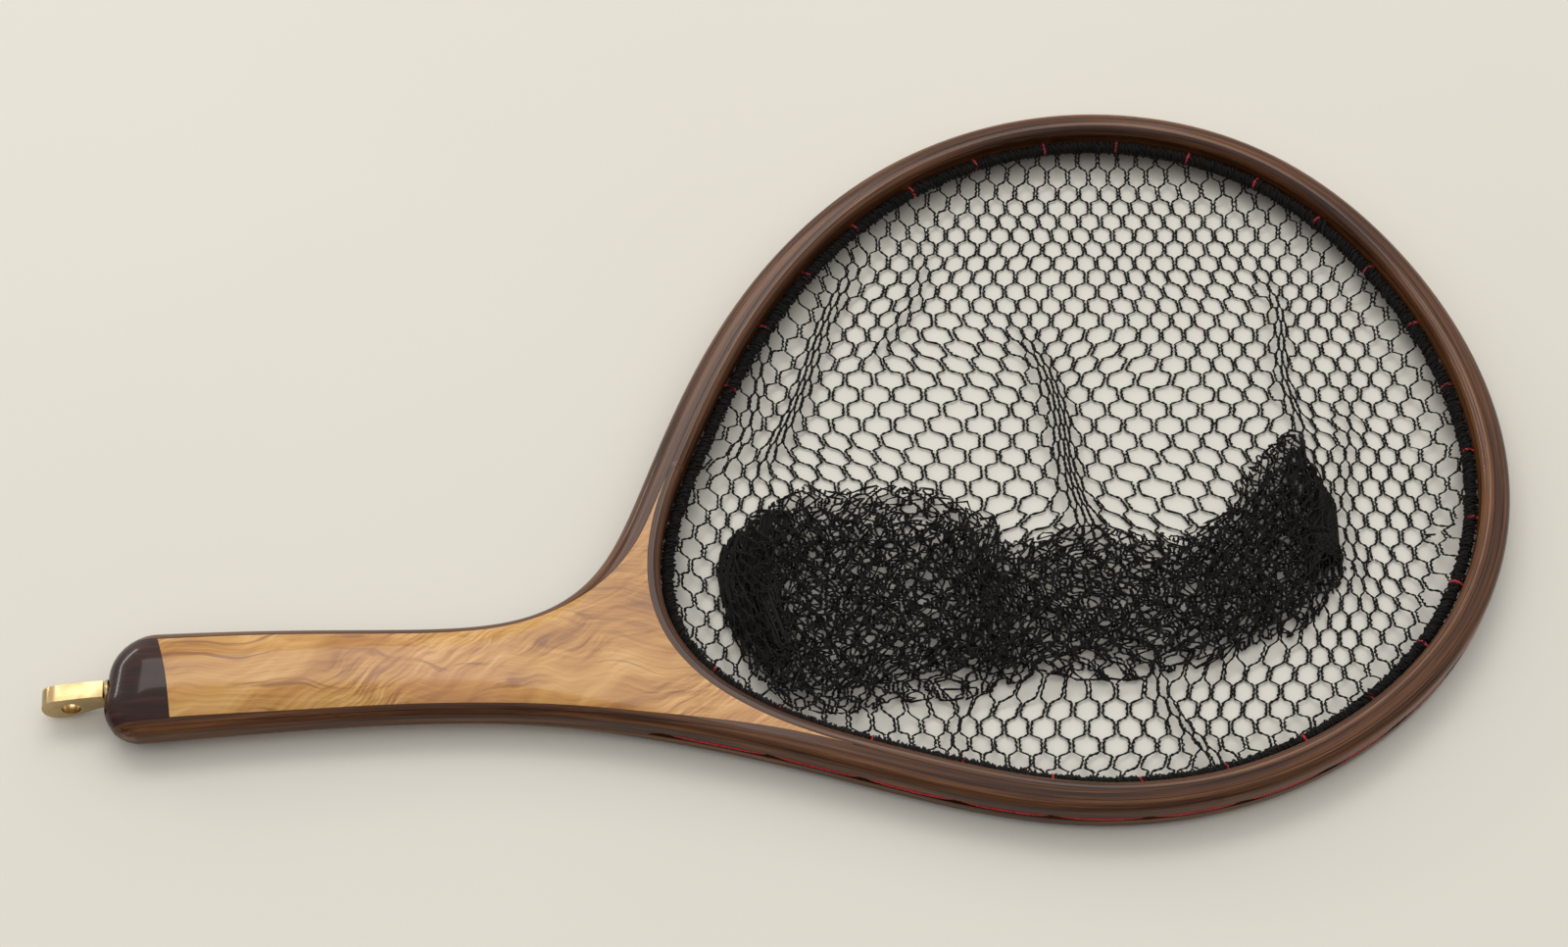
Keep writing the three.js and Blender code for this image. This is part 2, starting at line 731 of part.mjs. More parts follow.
function eyeGeometry() {
  const round = 1;
  const tongue = new THREE.ExtrudeGeometry(tonguePlan(), {
    depth: EYE_THICKNESS - 2 * round,
    bevelThickness: round,
    bevelSize: round,
    bevelSegments: 2,
    curveSegments: 6,
  });
  tongue.translate(0, 0, round - EYE_THICKNESS / 2);
  tongue.rotateX(Math.PI / 2);
  const groove = STEM_RADIUS - 0.7;
  const stem = turned([
    [-STEM_LENGTH, 0], [-STEM_LENGTH, STEM_RADIUS - 0.4], [-STEM_LENGTH + 0.4, STEM_RADIUS],
    [-STEM_LENGTH + 1, STEM_RADIUS], [-STEM_LENGTH + 1, groove],
    [-STEM_LENGTH + 2, groove], [-STEM_LENGTH + 2, STEM_RADIUS],
    [0.2, STEM_RADIUS], [1, 3.1], [2.4, 3.1], [2.4, 0],
  ], 20);
  const drill = new THREE.CylinderGeometry(EYE_HOLE_RADIUS, EYE_HOLE_RADIUS, 20, 20);
  drill.translate(EYE_HOLE_AT[0], 0, EYE_HOLE_AT[1]);
  return toGeometry(toSolid(tongue).add(toSolid(stem)).subtract(toSolid(drill)));
}

function bushGeometry() {
  return turned([
    [-12, BUSH_BORE_RADIUS], [-12, BUSH_RADIUS], [-0.8, BUSH_RADIUS],
    [-0.8, FLANGE_RADIUS], [0.1, FLANGE_RADIUS], [0.5, FLANGE_RADIUS - 0.5],
    [0.5, 3.5], [0.1, BUSH_BORE_RADIUS], [-12, BUSH_BORE_RADIUS],
  ], 20);
}

function washerGeometry() {
  return turned([
    [-12.9, 2.62], [-12.9, 3.9], [-12.3, 3.9], [-12.3, 2.62], [-12.9, 2.62],
  ], 20);
}

// An open ring that snaps into the stem's groove.
function snapRingGeometry() {
  const shape = new THREE.Shape();
  const gap = THREE.MathUtils.degToRad(35);
  shape.absarc(0, 0, 3.5, gap, 2 * Math.PI - gap, false);
  shape.absarc(0, 0, STEM_RADIUS - 0.55, 2 * Math.PI - gap, gap, true);
  const ring = new THREE.ExtrudeGeometry(shape, {
    depth: 0.6, bevelEnabled: false, curveSegments: 8,
  });
  ring.rotateY(Math.PI / 2);
  ring.translate(-STEM_LENGTH + 1.2, 0, 0);
  return ring;
}

function buttBore() {
  return turned([
    [-BORE_DEPTH, 0], [-BORE_DEPTH, BUSH_RADIUS + 0.15], [-1, BUSH_RADIUS + 0.15],
    [-1, FLANGE_RADIUS + 0.2], [4, FLANGE_RADIUS + 0.2], [4, 0],
  ], 20);
}

const SWIVEL_ORIGIN = new THREE.Vector3(BUTT_X, EYE_Y, BUTT_DEPTH / 2);
const SWIVEL_TURN = Math.PI + EYE_ANGLE;

function placedAtSwivel(geometry) {
  geometry.rotateZ(SWIVEL_TURN);
  geometry.translate(...SWIVEL_ORIGIN.toArray());
  return geometry;
}

// ---------------------------------------------------------------- net bag

const BAG_RIM_OFFSET = BORDER_OFFSET + BORDER_RADIUS + 2 * THREAD_RADIUS + 0.7;
const BAG_CENTRE = flat(112, 8);

function bagRing(reach, height) {
  const ring = [];
  for (let i = 0; i < LOOP.length; i += 2) {
    const p = loopPoint(i, BAG_RIM_OFFSET).lerp(BAG_CENTRE, 1 - reach);
    ring.push(new THREE.Vector3(p.x, p.y, height));
  }
  return ring;
}

// The bag's wall: one sheet that hangs from the border cord and lies on the ground.
function bagWall() {
  const low = BAG_FLOOR;
  const top = BAG_FLOOR + BAG_WALL;
  return loft([
    bagRing(0.02, low), bagRing(0.9, low), bagRing(0.97, 2.4), bagRing(1, 7), bagRing(1, 9.6),
    bagRing(0.985, 9.6), bagRing(0.95, 5), bagRing(0.88, top), bagRing(0.02, top),
  ]);
}

// The folded end of the bag, as one pad of the folds' outer shape.
function bagFolds() {
  const outline = FOLDS_OUTLINE.map(([x, y]) => new THREE.Vector3(x, y, 0)).reverse();
  const curve = new THREE.CatmullRomCurve3(outline, true, 'centripetal');
  const middle = new THREE.Vector3(95, -55, 0);
  const ring = (reach, height) => curve.getSpacedPoints(40).slice(0, 40).map((p) => {
    const q = p.clone().lerp(middle, 1 - reach);
    return q.setZ(height);
  });
  const low = BAG_FLOOR + BAG_WALL / 2;
  return loft([
    ring(0.1, low), ring(0.94, low), ring(1, 4), ring(0.99, 7),
    ring(0.93, FOLDS_TOP - 1.6), ring(0.75, FOLDS_TOP - 0.4), ring(0.1, FOLDS_TOP),
  ]);
}

function bagGeometry() {
  return toGeometry(toSolid(bagWall()).add(toSolid(bagFolds())));
}

// ---------------------------------------------------------------- assembly

const holes = drilledHoles();
const lacingGroove = groove();
const bore = toSolid(placedAtSwivel(buttBore()));

const cut = (geometry, ...cutters) => toGeometry(
  cutters.reduce((solid, cutter) => solid.subtract(cutter), toSolid(geometry)),
);

const landingNet = new THREE.Group();
const frame = new THREE.Group();
const swivel = new THREE.Group();
const net = new THREE.Group();

const outerPly = cut(outerStrip(0, 0.5, [0, 0.12, 0.35, 0.65, 1]), lacingGroove, holes);
frame.add(named('outer_lamination_outside', outerPly, WALNUT));
const secondPly = cut(outerStrip(0.5, 1, [0, 0.4, 1]), holes);
frame.add(named('outer_lamination_inside', secondPly, WALNUT_DARK));
const thirdPly = cut(innerStrip(0, INNER_STACK / 2 - GLUE_LINE, [0, 1]), holes);
frame.add(named('inner_lamination_outside', thirdPly, WALNUT));
const fourthPly = cut(innerStrip(INNER_STACK / 2, INNER_STACK, [0, 0.35, 0.7, 1]), holes);
frame.add(named('inner_lamination_inside', fourthPly, WALNUT_DARK));
const core = toGeometry(toSolid(corePrism()).intersect(toSolid(handleForm())).subtract(holes));
frame.add(named('handle_core', core, BURL));
const cap = cut(plateOver(capGrid(10, 6)), bore);
frame.add(named('butt_cap', cap, ROSEWOOD));

swivel.position.copy(SWIVEL_ORIGIN);
swivel.rotation.z = SWIVEL_TURN;
swivel.add(named('eye_tongue', eyeGeometry(), BRASS));
swivel.add(named('eye_bush', bushGeometry(), BRASS));
swivel.add(named('thrust_washer', washerGeometry(), NYLON_WHITE));
swivel.add(named('snap_ring', snapRingGeometry(), STEEL));

net.add(named('net_bag', bagGeometry(), NYLON_BLACK));
net.add(named('net_border_cord', cordAlong(borderRoute(), BORDER_RADIUS, 8), NYLON_BLACK));
net.add(named('lacing_thread', cordAlong(lacingRoute(), THREAD_RADIUS, 6), NYLON_RED));

landingNet.add(frame, swivel, net);

// The origin is on the ground, under the middle of the whole net.
landingNet.updateMatrixWorld(true);
const box = new THREE.Box3().setFromObject(landingNet);
const middle = box.getCenter(new THREE.Vector3());
landingNet.position.set(-middle.x, -middle.y, -box.min.z);

export default landingNet;
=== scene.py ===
"""A wooden hand landing net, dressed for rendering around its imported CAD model."""

import json
import math

import bmesh
import bpy
import numpy as np
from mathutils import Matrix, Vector
from mathutils.bvhtree import BVHTree
from mathutils.kdtree import KDTree


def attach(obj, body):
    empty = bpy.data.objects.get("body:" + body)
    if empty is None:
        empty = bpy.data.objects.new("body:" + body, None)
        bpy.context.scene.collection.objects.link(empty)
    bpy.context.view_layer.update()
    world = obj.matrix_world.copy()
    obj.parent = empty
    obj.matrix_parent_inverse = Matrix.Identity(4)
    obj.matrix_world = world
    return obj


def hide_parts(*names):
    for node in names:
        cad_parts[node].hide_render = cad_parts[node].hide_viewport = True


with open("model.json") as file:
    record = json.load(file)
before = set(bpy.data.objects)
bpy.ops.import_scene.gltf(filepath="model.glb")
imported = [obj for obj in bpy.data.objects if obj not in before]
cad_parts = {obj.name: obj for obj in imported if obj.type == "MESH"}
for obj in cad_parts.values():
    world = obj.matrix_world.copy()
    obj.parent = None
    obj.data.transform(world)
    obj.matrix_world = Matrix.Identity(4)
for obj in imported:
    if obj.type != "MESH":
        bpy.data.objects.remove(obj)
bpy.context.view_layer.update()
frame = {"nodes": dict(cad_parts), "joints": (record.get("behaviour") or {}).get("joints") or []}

# ---- dimensions, in mm

EDGE_CONTROL = np.array([
    (-252, -83), (-208, -80), (-150, -80), (-98, -79), (-68, -58), (-54, -9), (-26, 73),
    (33, 151), (121, 188), (212, 168), (271, 92), (294, 0), (266, -88), (191, -149),
    (100, -163), (11, -134), (-75, -115), (-159, -117), (-223, -124), (-252, -127),
], float)
EDGE_SPANS = len(EDGE_CONTROL) - 3
KNOTS = np.concatenate([[0, 0, 0], np.arange(EDGE_SPANS + 1), [EDGE_SPANS] * 3])
FINE = 14                    # stations in each span of the edge
GLUE = 0.15
DEEP = 100.0                 # further in than any rounded edge reaches
HOOP_DEPTH, BUTT_DEPTH = 17.5, 21
HOOP_ROUND, GRIP_ROUND, BUTT_ROUND, INNER_ROUND = 4.5, 7, 9, 3.2
CROWN = 2                    # the grip's rounding reaches in this many times its fall
BUTT_X, BUTT_CORNER = -251, 16
SWELL_START, SWELL_FULL, HOOP_TIP_X = -150, -225, 286
STACK_HOOP, STACK_FORK, STACK_GRIP, STACK_BUTT = 6.6, 8.4, 3.7, 4.6
INNER_STACK = 4.6
FAR_TIP_U, NEAR_TIP_U = 4, 13.75
THROAT_FAR_REACH, THROAT_NEAR_REACH, THROAT_STEPS = 84, 70, 12
GROOVE_WIDTH, GROOVE_DEPTH = 2.4, 1.7
GROOVE_START_U, GROOVE_END_U = 4.25, 14.68
STITCH_COUNT, FIRST_STITCH_U, LAST_STITCH_U = 26, 4.6, 14.2
THROAT_HOLE_U, THROAT_HOLE_STATION = 14.64, 7
HOLE_RADIUS, BORDER_RADIUS, BORDER_GAP = 1.5, 1.8, 0.8
CAP_JOINT_FAR_X, CAP_JOINT_NEAR_X, CAP_JOINT_BULGE = -234, -224, 1.2
SWIVEL = np.array([BUTT_X, -105.4, BUTT_DEPTH / 2])
EYE_ANGLE = math.radians(8)
EYE_THICKNESS, EYE_BEVEL, EYE_HOLE_RADIUS = 6.8, 1.6, 3.5
EYE_HOLE_ALONG, EYE_HOLE_UP = 14, -2.6
MESH_PITCH = 8.8             # from one mesh of the netting to the next

SHIFT = np.array(frame["joints"][0]["pos_m"]) - SWIVEL / 1000


def metres(points):
    """Plan millimetres to metres in the row frame."""
    return np.asarray(points, float) / 1000 + SHIFT


# ---- camera

def add_camera():
    elevation = math.radians(56)
    distance = 0.941
    target = Vector(metres((0, 0, 0)))
    target.z = 0
    away = Vector((0, -math.cos(elevation), math.sin(elevation)))
    camera = bpy.data.cameras.new("camera")
    camera.lens = 54
    camera.sensor_width = 36
    camera.clip_start = 0.01
    holder = placed("camera", camera)
    holder.location = target + away * distance
    holder.rotation_euler = (-away).to_track_quat("-Z", "Y").to_euler()
    bpy.context.scene.camera = holder


# ---- plan and side view

def smooth(x, low, high):
    t = np.clip((np.asarray(x, float) - low) / (high - low), 0, 1)
    return t * t * (3 - 2 * t)


def lerp(a, b, t):
    return a + (b - a) * t


def edge(u):
    """Points of the frame's outer edge; u is counted in spans from the far butt corner."""
    u = np.atleast_1d(np.clip(u, 0, EDGE_SPANS)).astype(float)
    span = np.minimum(u.astype(int), EDGE_SPANS - 1) + 3
    d = [EDGE_CONTROL[span - 3 + j] for j in range(4)]
    for r in range(1, 4):
        for j in range(3, r - 1, -1):
            left = KNOTS[j + span - 3]
            right = KNOTS[j + 1 + span - r]
            t = ((u - left) / (right - left))[:, None]
            d[j] = (1 - t) * d[j - 1] + t * d[j]
    return d[3]


def edge_offset(u, offset=0.0):
    """The outer edge moved inwards."""
    u = np.atleast_1d(np.asarray(u, float))
    along = edge(u + 1.7e-3) - edge(u - 1.7e-3)
    along /= np.linalg.norm(along, axis=1, keepdims=True)
    inwards = np.stack([along[:, 1], -along[:, 0]], 1)
    return edge(u) + inwards * np.reshape(offset, (-1, 1))


def edge_parameter_at(x, far):
    low, high = (0.0, 7.0) if far else (EDGE_SPANS - 5.0, float(EDGE_SPANS))
    for _ in range(40):
        middle = (low + high) / 2
        before = edge(middle)[0, 0] < x
        if before == far:
            low = middle
        else:
            high = middle
    return (low + high) / 2


def outer_stack(u):
    u = np.asarray(u, float)
    towards_fork = smooth(u, 2.2, 3.5) * (1 - smooth(u, 13.95, 14.9))
    towards_tip = smooth(u, 4.2, 7) * (1 - smooth(u, 12.3, 13.8))
    hoop = lerp(STACK_FORK, STACK_HOOP, towards_tip)
    x = edge(u)[:, 0].reshape(u.shape)
    grip = lerp(STACK_GRIP, STACK_BUTT, 1 - smooth(x, -235, -170))
    return lerp(grip, hoop, towards_fork)


def swell(x):
    return 1 - smooth(x, SWELL_FULL, SWELL_START)


def centre_height(x):
    along = np.clip((np.asarray(x, float) - SWELL_FULL) / (HOOP_TIP_X - SWELL_FULL), 0, 1)
    return lerp(BUTT_DEPTH / 2, HOOP_DEPTH / 2, along)


def outer_round(x):
    grip = lerp(GRIP_ROUND, HOOP_ROUND, smooth(x, -110, -20))
    return lerp(grip, BUTT_ROUND, swell(x))


def round_reach(x):
    return outer_round(x) * lerp(CROWN, 1, smooth(x, -130, -50))


def round_over(distance, fall, reach):
    short = 1 - np.clip(distance / reach, 0, 1)
    return fall * (1 - np.sqrt(np.maximum(1 - short ** 2, 0)))


def inside_distance(from_side, x):
    from_end = x - BUTT_X
    corner = BUTT_CORNER - np.hypot(BUTT_CORNER - from_side, BUTT_CORNER - from_end)
    straight = (from_side > BUTT_CORNER) | (from_end > BUTT_CORNER)
    return np.where(straight, np.minimum(from_side, from_end), corner)


def half_depth(x, from_side, from_inside=DEEP):
    """Half the wood's thickness at a point, with its rounded edges."""
    depth = lerp(HOOP_DEPTH, BUTT_DEPTH, swell(x)) / 2
    drop = round_over(inside_distance(from_side, x), outer_round(x), round_reach(x))
    return depth - drop - round_over(from_inside, INNER_ROUND, INNER_ROUND)


# ---- mesh helpers

def placed(name, data):
    """A new object in the scene."""
    obj = bpy.data.objects.new(name, data)
    bpy.context.scene.collection.objects.link(obj)
    return obj


def from_bmesh(name, bm):
    mesh = bpy.data.meshes.new(name)
    bm.to_mesh(mesh)
    bm.free()
    return placed(name, mesh)


def new_object(name, vertices, faces, shift=True):
    mesh = bpy.data.meshes.new(name)
    points = metres(vertices) if shift else np.asarray(vertices)
    mesh.from_pydata([tuple(p) for p in points], [], faces)
    mesh.validate()
    return placed(name, mesh)


def face_outwards(obj):
    bm = bmesh.new()
    bm.from_mesh(obj.data)
    bmesh.ops.recalc_face_normals(bm, faces=bm.faces)
    bm.to_mesh(obj.data)
    bm.free()


def loft(name, rings, closed=False):
    """Joins rings of the same length; an open loft gets a flat cap at each end."""
    count, size = rings.shape[:2]
    faces = []
    for r in range(count if closed else count - 1):
        a, b = r * size, ((r + 1) % count) * size
        for c in range(size):
            d = (c + 1) % size
            faces.append((a + c, a + d, b + d, b + c))
    if not closed:
        faces.append(tuple(range(size))[::-1])
        faces.append(tuple(range((count - 1) * size, count * size)))
    obj = new_object(name, rings.reshape(-1, 3), faces)
    face_outwards(obj)
    return obj


def baked(obj):
    """The object's mesh with its modifiers applied."""
    depsgraph = bpy.context.evaluated_depsgraph_get()
    mesh = bpy.data.meshes.new_from_object(obj.evaluated_get(depsgraph))
    obj.modifiers.clear()
    obj.data = mesh


def boolean(obj, other, operation="DIFFERENCE"):
    modifier = obj.modifiers.new("cut", "BOOLEAN")
    modifier.operation = operation
    modifier.solver = "MANIFOLD"
    modifier.object = other
    baked(obj)


def shade(obj, degrees=35):
    obj.data.polygons.foreach_set("use_smooth", [True] * len(obj.data.polygons))
    obj.data.set_sharp_from_angle(angle=math.radians(degrees))


def remove(obj):
    bpy.data.objects.remove(obj)


def vertices_of(obj):
    points = np.empty(len(obj.data.vertices) * 3)
    obj.data.vertices.foreach_get("co", points)
    return points.reshape(-1, 3)


def add_vector_attribute(obj, name, values):
    attribute = obj.data.attributes.new(name, "FLOAT_VECTOR", "POINT")
    attribute.data.foreach_set("vector", np.asarray(values, np.float32).ravel())


def stand_for(obj, node, slot, body="net"):
    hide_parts(node)
    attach(obj, body)


# ---- grain along a curve

def arc_lengths(path):
    steps = np.linalg.norm(np.diff(path, axis=0), axis=1)
    return np.concatenate([[0], np.cumsum(steps)])


def grain_along(obj, path):
    """Stores, for the wood's grain, the length along a path, the distance from it, and z."""
    lengths = arc_lengths(path)
    tree = KDTree(len(path))
    for i, (x, y) in enumerate(path):
        tree.insert((x, y, 0), i)
    tree.balance()
    points = (vertices_of(obj) - SHIFT) * 1000
    values = np.empty_like(points)
    for i, (x, y, z) in enumerate(points):
        _, nearest, distance = tree.find((x, y, 0))
        values[i] = lengths[nearest], distance, z
    add_vector_attribute(obj, "grain", values / 1000)


# ---- outer laminations

def corner_cut(from_end):
    """How far in the butt's rounded corner eats at a distance from its end."""
    left = np.clip(BUTT_CORNER - np.asarray(from_end, float), 0, BUTT_CORNER)
    return BUTT_CORNER - np.sqrt(np.maximum(BUTT_CORNER ** 2 - left ** 2, 0))


def strip_stations(inner_face):
    end_x = BUTT_X + corner_cut(inner_face - 0.35)
    lead = lerp(end_x, BUTT_X + BUTT_CORNER, np.linspace(0, 1, 9) ** 1.3)
    far = [edge_parameter_at(x, True) for x in lead]
    near = [edge_parameter_at(x, False) for x in lead][::-1]
    middle = np.arange(EDGE_SPANS * FINE + 1) / FINE
    middle = middle[(middle > far[-1] + 0.03) & (middle < near[0] - 0.03)]
    return np.concatenate([far, middle, near])


def both_faces(p, half):
    """The top and bottom of the wood over plan points, from half its thickness."""
    middle = centre_height(p[:, 0])
    return np.column_stack([p, middle + half]), np.column_stack([p, middle - half])


def around(faces):
    """Columns of points across the top and back across the bottom."""
    return [top for top, _ in faces] + [bottom for _, bottom in faces[::-1]]


def outer_ply(name, start, end, across, grooved):
    """One of the two outer strips, between two fractions of the outer stack's width."""
    stations = strip_stations(STACK_BUTT * end)
    width = outer_stack(stations)
    at_edge = edge(stations)
    first = np.maximum(width * start + (GLUE if start > 0 else 0),
                       corner_cut(at_edge[:, 0] - BUTT_X))
    last = np.maximum(width * end, first + 0.3)
    faces = []
    for f in across:
        offset = lerp(first, last, f)
        p = edge_offset(stations, offset)
        faces.append(both_faces(p, half_depth(p[:, 0], offset)))
    columns = around(faces)
    if grooved:
        columns += groove_columns(stations, first)
    return loft(name, np.stack(columns, 1))


def groove_columns(stations, first):
    """The lacing groove's four corners, shallow to nothing beyond its ends."""
    here = (stations > GROOVE_START_U) & (stations < GROOVE_END_U)
    depth = np.where(here, GROOVE_DEPTH, 0.02)
    columns = []
    for inwards, up in ((0, -1), (1, -1), (1, 1), (0, 1)):
        p = edge_offset(stations, first + inwards * depth)
        z = centre_height(p[:, 0]) + up * GROOVE_WIDTH / 2
        columns.append(np.column_stack([p, z]))
    return columns


# ---- inner laminations

def bezier(p, t):
    t = np.reshape(t, (-1, 1))
    s = 1 - t
    return s ** 3 * p[0] + 3 * s * s * t * p[1] + 3 * s * t * t * p[2] + t ** 3 * p[3]


def inner_loop(per_span, throat_steps):
    """The closed loop of the inner strips, its inward normals, and distance from the edge."""
    u = np.arange(round((NEAR_TIP_U - FAR_TIP_U) * per_span) + 1) / per_span + FAR_TIP_U
    offset = outer_stack(u) + GLUE
    hoop = edge_offset(u, offset)
    quarter = np.array([0, 0.25])
    far, far_next = edge_offset(FAR_TIP_U + quarter, outer_stack(FAR_TIP_U + quarter) + GLUE)
    near, near_last = edge_offset(NEAR_TIP_U - quarter, outer_stack(NEAR_TIP_U - quarter) + GLUE)
    near_along = (near - near_last) / np.linalg.norm(near - near_last)
    far_along = (far - far_next) / np.linalg.norm(far - far_next)
    control = [near, near + near_along * THROAT_NEAR_REACH,
               far + far_along * THROAT_FAR_REACH, far]
    throat = bezier(control, np.arange(1, throat_steps) / throat_steps)
    loop = np.concatenate([hoop, throat])
    from_side = np.concatenate([offset, np.full(len(throat), DEEP)])
    along = np.roll(loop, -1, 0) - np.roll(loop, 1, 0)
    along /= np.linalg.norm(along, axis=1, keepdims=True)
    return loop, np.column_stack([along[:, 1], -along[:, 0]]), from_side


LOOP, LOOP_NORMALS, LOOP_FROM_SIDE = inner_loop(FINE, 72)
BORDER_OFFSET = INNER_STACK + BORDER_GAP + BORDER_RADIUS
BORDER_LINE = LOOP + LOOP_NORMALS * BORDER_OFFSET


def inner_ply(name, start, end, across):
    faces = []
    for f in across:
        offset = lerp(start, end, f)
        p = LOOP + LOOP_NORMALS * offset
        half = half_depth(p[:, 0], LOOP_FROM_SIDE + offset, INNER_STACK - offset)
        faces.append(both_faces(p, half))
    return loft(name, np.stack(around(faces), 1), closed=True)


# ---- core and butt cap

SIDES = edge(np.concatenate([np.arange(0, 5, 1 / 60), np.arange(12.7, 17.001, 1 / 60)]))


def distance_to(line, points):
    """From each plan point to the nearest point of a line."""
    best = np.full(len(points), np.inf)
    for start in range(0, len(line), 64):
        gaps = points[:, None] - line[None, start:start + 64]
        best = np.minimum(best, np.hypot(gaps[..., 0], gaps[..., 1]).min(1))
    return best


def stack_face(u):
    u = np.atleast_1d(u)
    return edge_offset(u, outer_stack(u) + GLUE)


def handle_side(x, far):
    return stack_face(edge_parameter_at(x, far))[0]


def cap_joint(f):
    far, near = handle_side(CAP_JOINT_FAR_X, True), handle_side(CAP_JOINT_NEAR_X, False)
    p = lerp(far, near, np.reshape(f, (-1, 1)))
    p[:, 0] += CAP_JOINT_BULGE * 4 * f * (1 - f)
    return p


def plate(name, grid):
    """A closed plate under a grid of plan points, with the handle's rounded faces."""
    rows, columns = grid.shape[:2]
    points = grid.reshape(-1, 2)
    half = half_depth(points[:, 0], distance_to(SIDES, points))
    shift = len(points)
    faces = []
    for r in range(rows - 1):
        for c in range(columns - 1):
            a = r * columns + c
            quad = (a, a + 1, a + columns + 1, a + columns)
            faces.append(quad)
            faces.append(tuple(shift + i for i in quad[::-1]))
    last = (rows - 1) * columns
    rim = list(range(columns - 1))
    rim += [r * columns + columns - 1 for r in range(rows - 1)]
    rim += [last + c for c in range(columns - 1, 0, -1)]
    rim += [r * columns for r in range(rows - 1, 0, -1)]
    for a, b in zip(rim, rim[1:] + rim[:1]):
        faces.append((a, b, shift + b, shift + a))
    obj = new_object(name, np.concatenate(both_faces(points, half)), faces)
    face_outwards(obj)
    return obj


def core_outline():
    """Plan of the core: cap joint, near side, throat, far side."""
    start_far = edge_parameter_at(CAP_JOINT_FAR_X, True)
    start_near = edge_parameter_at(CAP_JOINT_NEAR_X, False)
    joint = cap_joint(np.arange(1, 16) / 16)
    near = stack_face(np.linspace(start_near, NEAR_TIP_U + 0.12, 60))
    far = stack_face(np.linspace(FAR_TIP_U - 0.12, start_far, 60))
    throat = (LOOP - LOOP_NORMALS * GLUE)[-66:-5]
    return np.concatenate([joint, near, throat, far])


def prism(name, outline):
    low = np.column_stack([outline, np.full(len(outline), -10.0)])
    high = low + (0, 0, 45)
    return loft(name, np.stack([low, high]))


def handle_form():
    rows = np.concatenate([np.arange(-240, -20, 2.5), np.arange(-20, 40, 4)])
    across = 0.5 - 0.5 * np.cos(np.linspace(0, math.pi, 64))
    grid = []
    for x in rows:
        far, near = edge_parameter_at(x, True), edge_parameter_at(x, False)
        grid.append(lerp(edge(far), edge(near), across[:, None]))
    return plate("core_wood", np.array(grid))


def cap_grid(columns, rows):
    f = np.linspace(0, 1, columns + 1)
    width = np.linalg.norm(handle_side(BUTT_X + 8, True) - handle_side(BUTT_X + 8, False))
    from_side = STACK_BUTT + GLUE + width * np.minimum(f, 1 - f)
    end_x = BUTT_X + corner_cut(from_side)
    joint_x = cap_joint(f)[:, 0] - GLUE
    grid = np.empty((rows + 1, columns + 1, 2))
    for r in range(rows + 1):
        for c in range(columns + 1):
            x = lerp(end_x[c], joint_x[c], (r / rows) ** 2)
            y = lerp(handle_side(x, True)[1], handle_side(x, False)[1], f[c])
            grid[r, c] = x, y
    return grid


# ---- holes and stitches

def hoop_point(u, offset, up, along=0.0):
    p = edge_offset(u, offset)[0]
    ahead = edge_offset(u + 0.01, offset)[0] - edge_offset(u - 0.01, offset)[0]
    p = p + ahead / np.linalg.norm(ahead) * along
    return np.array([p[0], p[1], centre_height(p[0]) + up])


def stitch_parameters():
    u = np.linspace(FIRST_STITCH_U, LAST_STITCH_U, 1001)
    lengths = arc_lengths(edge(u))
    return np.interp(np.linspace(0, lengths[-1], STITCH_COUNT), lengths, u)


STITCHES = stitch_parameters()


def depth_to_loop(u, offset):
    """How far in from the edge a line square to it comes to an offset of the loop."""
    start = edge(u)[0]
    inwards = edge_offset(u, 1.0)[0] - start
    a = LOOP + LOOP_NORMALS * offset - start
    side = inwards[0] * a[:, 1] - inwards[1] * a[:, 0]
    depth = a @ inwards
    crossing = (side * np.roll(side, -1) <= 0) & (depth > 0) & (depth < 60)
    i = np.flatnonzero(crossing)[0]
    j = (i + 1) % len(a)
    return lerp(depth[i], depth[j], side[i] / (side[i] - side[j]))


def throat_hole():
    loop, normals, _ = inner_loop(4, THROAT_STEPS)
    i = len(loop) - THROAT_HOLE_STATION
    x, y = loop[i] + normals[i] * INNER_STACK
    outside = hoop_point(THROAT_HOLE_U, 0, 0)
    inside = np.array([x, y, centre_height(x)])
    along = (inside - outside) / np.linalg.norm(inside - outside)
    return outside, inside, along, normals[i]


def rods(name, ends, radius, sides=18):
    """Round bars between pairs of points, as one mesh."""
    bm = bmesh.new()
    for a, b in ends:
        a, b = Vector(metres(a)), Vector(metres(b))
        turn = (b - a).to_track_quat("Z", "Y").to_matrix().to_4x4()
        turn.translation = (a + b) / 2
        bmesh.ops.create_cone(bm, cap_ends=True, segments=sides, radius1=radius / 1000,
                              radius2=radius / 1000, depth=(b - a).length, matrix=turn)
    return from_bmesh(name, bm)


def drills():
    ends = []
    for u in STITCHES:
        through = depth_to_loop(u, INNER_STACK) + 2
        ends.append((hoop_point(u, -2, 0), hoop_point(u, through, 0)))
    outside, inside, along, _ = throat_hole()
    ends.append((outside - along * 3, inside + along * 4))
    return rods("drills", ends, HOLE_RADIUS)


# ---- tubes

def frames_along(path):
    """Unit tangents and two unit normals that turn as little as possible."""
    tangents = np.gradient(path, axis=0)
    tangents /= np.linalg.norm(tangents, axis=1, keepdims=True)
    normal = np.cross(tangents[0], (0, 0, 1.0))
    if np.linalg.norm(normal) < 1e-3:
        normal = np.array([1.0, 0, 0])
    normals = np.empty_like(path)
    for i, t in enumerate(tangents):
        normal = normal - t * (normal @ t)
        normal /= np.linalg.norm(normal)
        normals[i] = normal
    return tangents, normals, np.cross(tangents, normals)


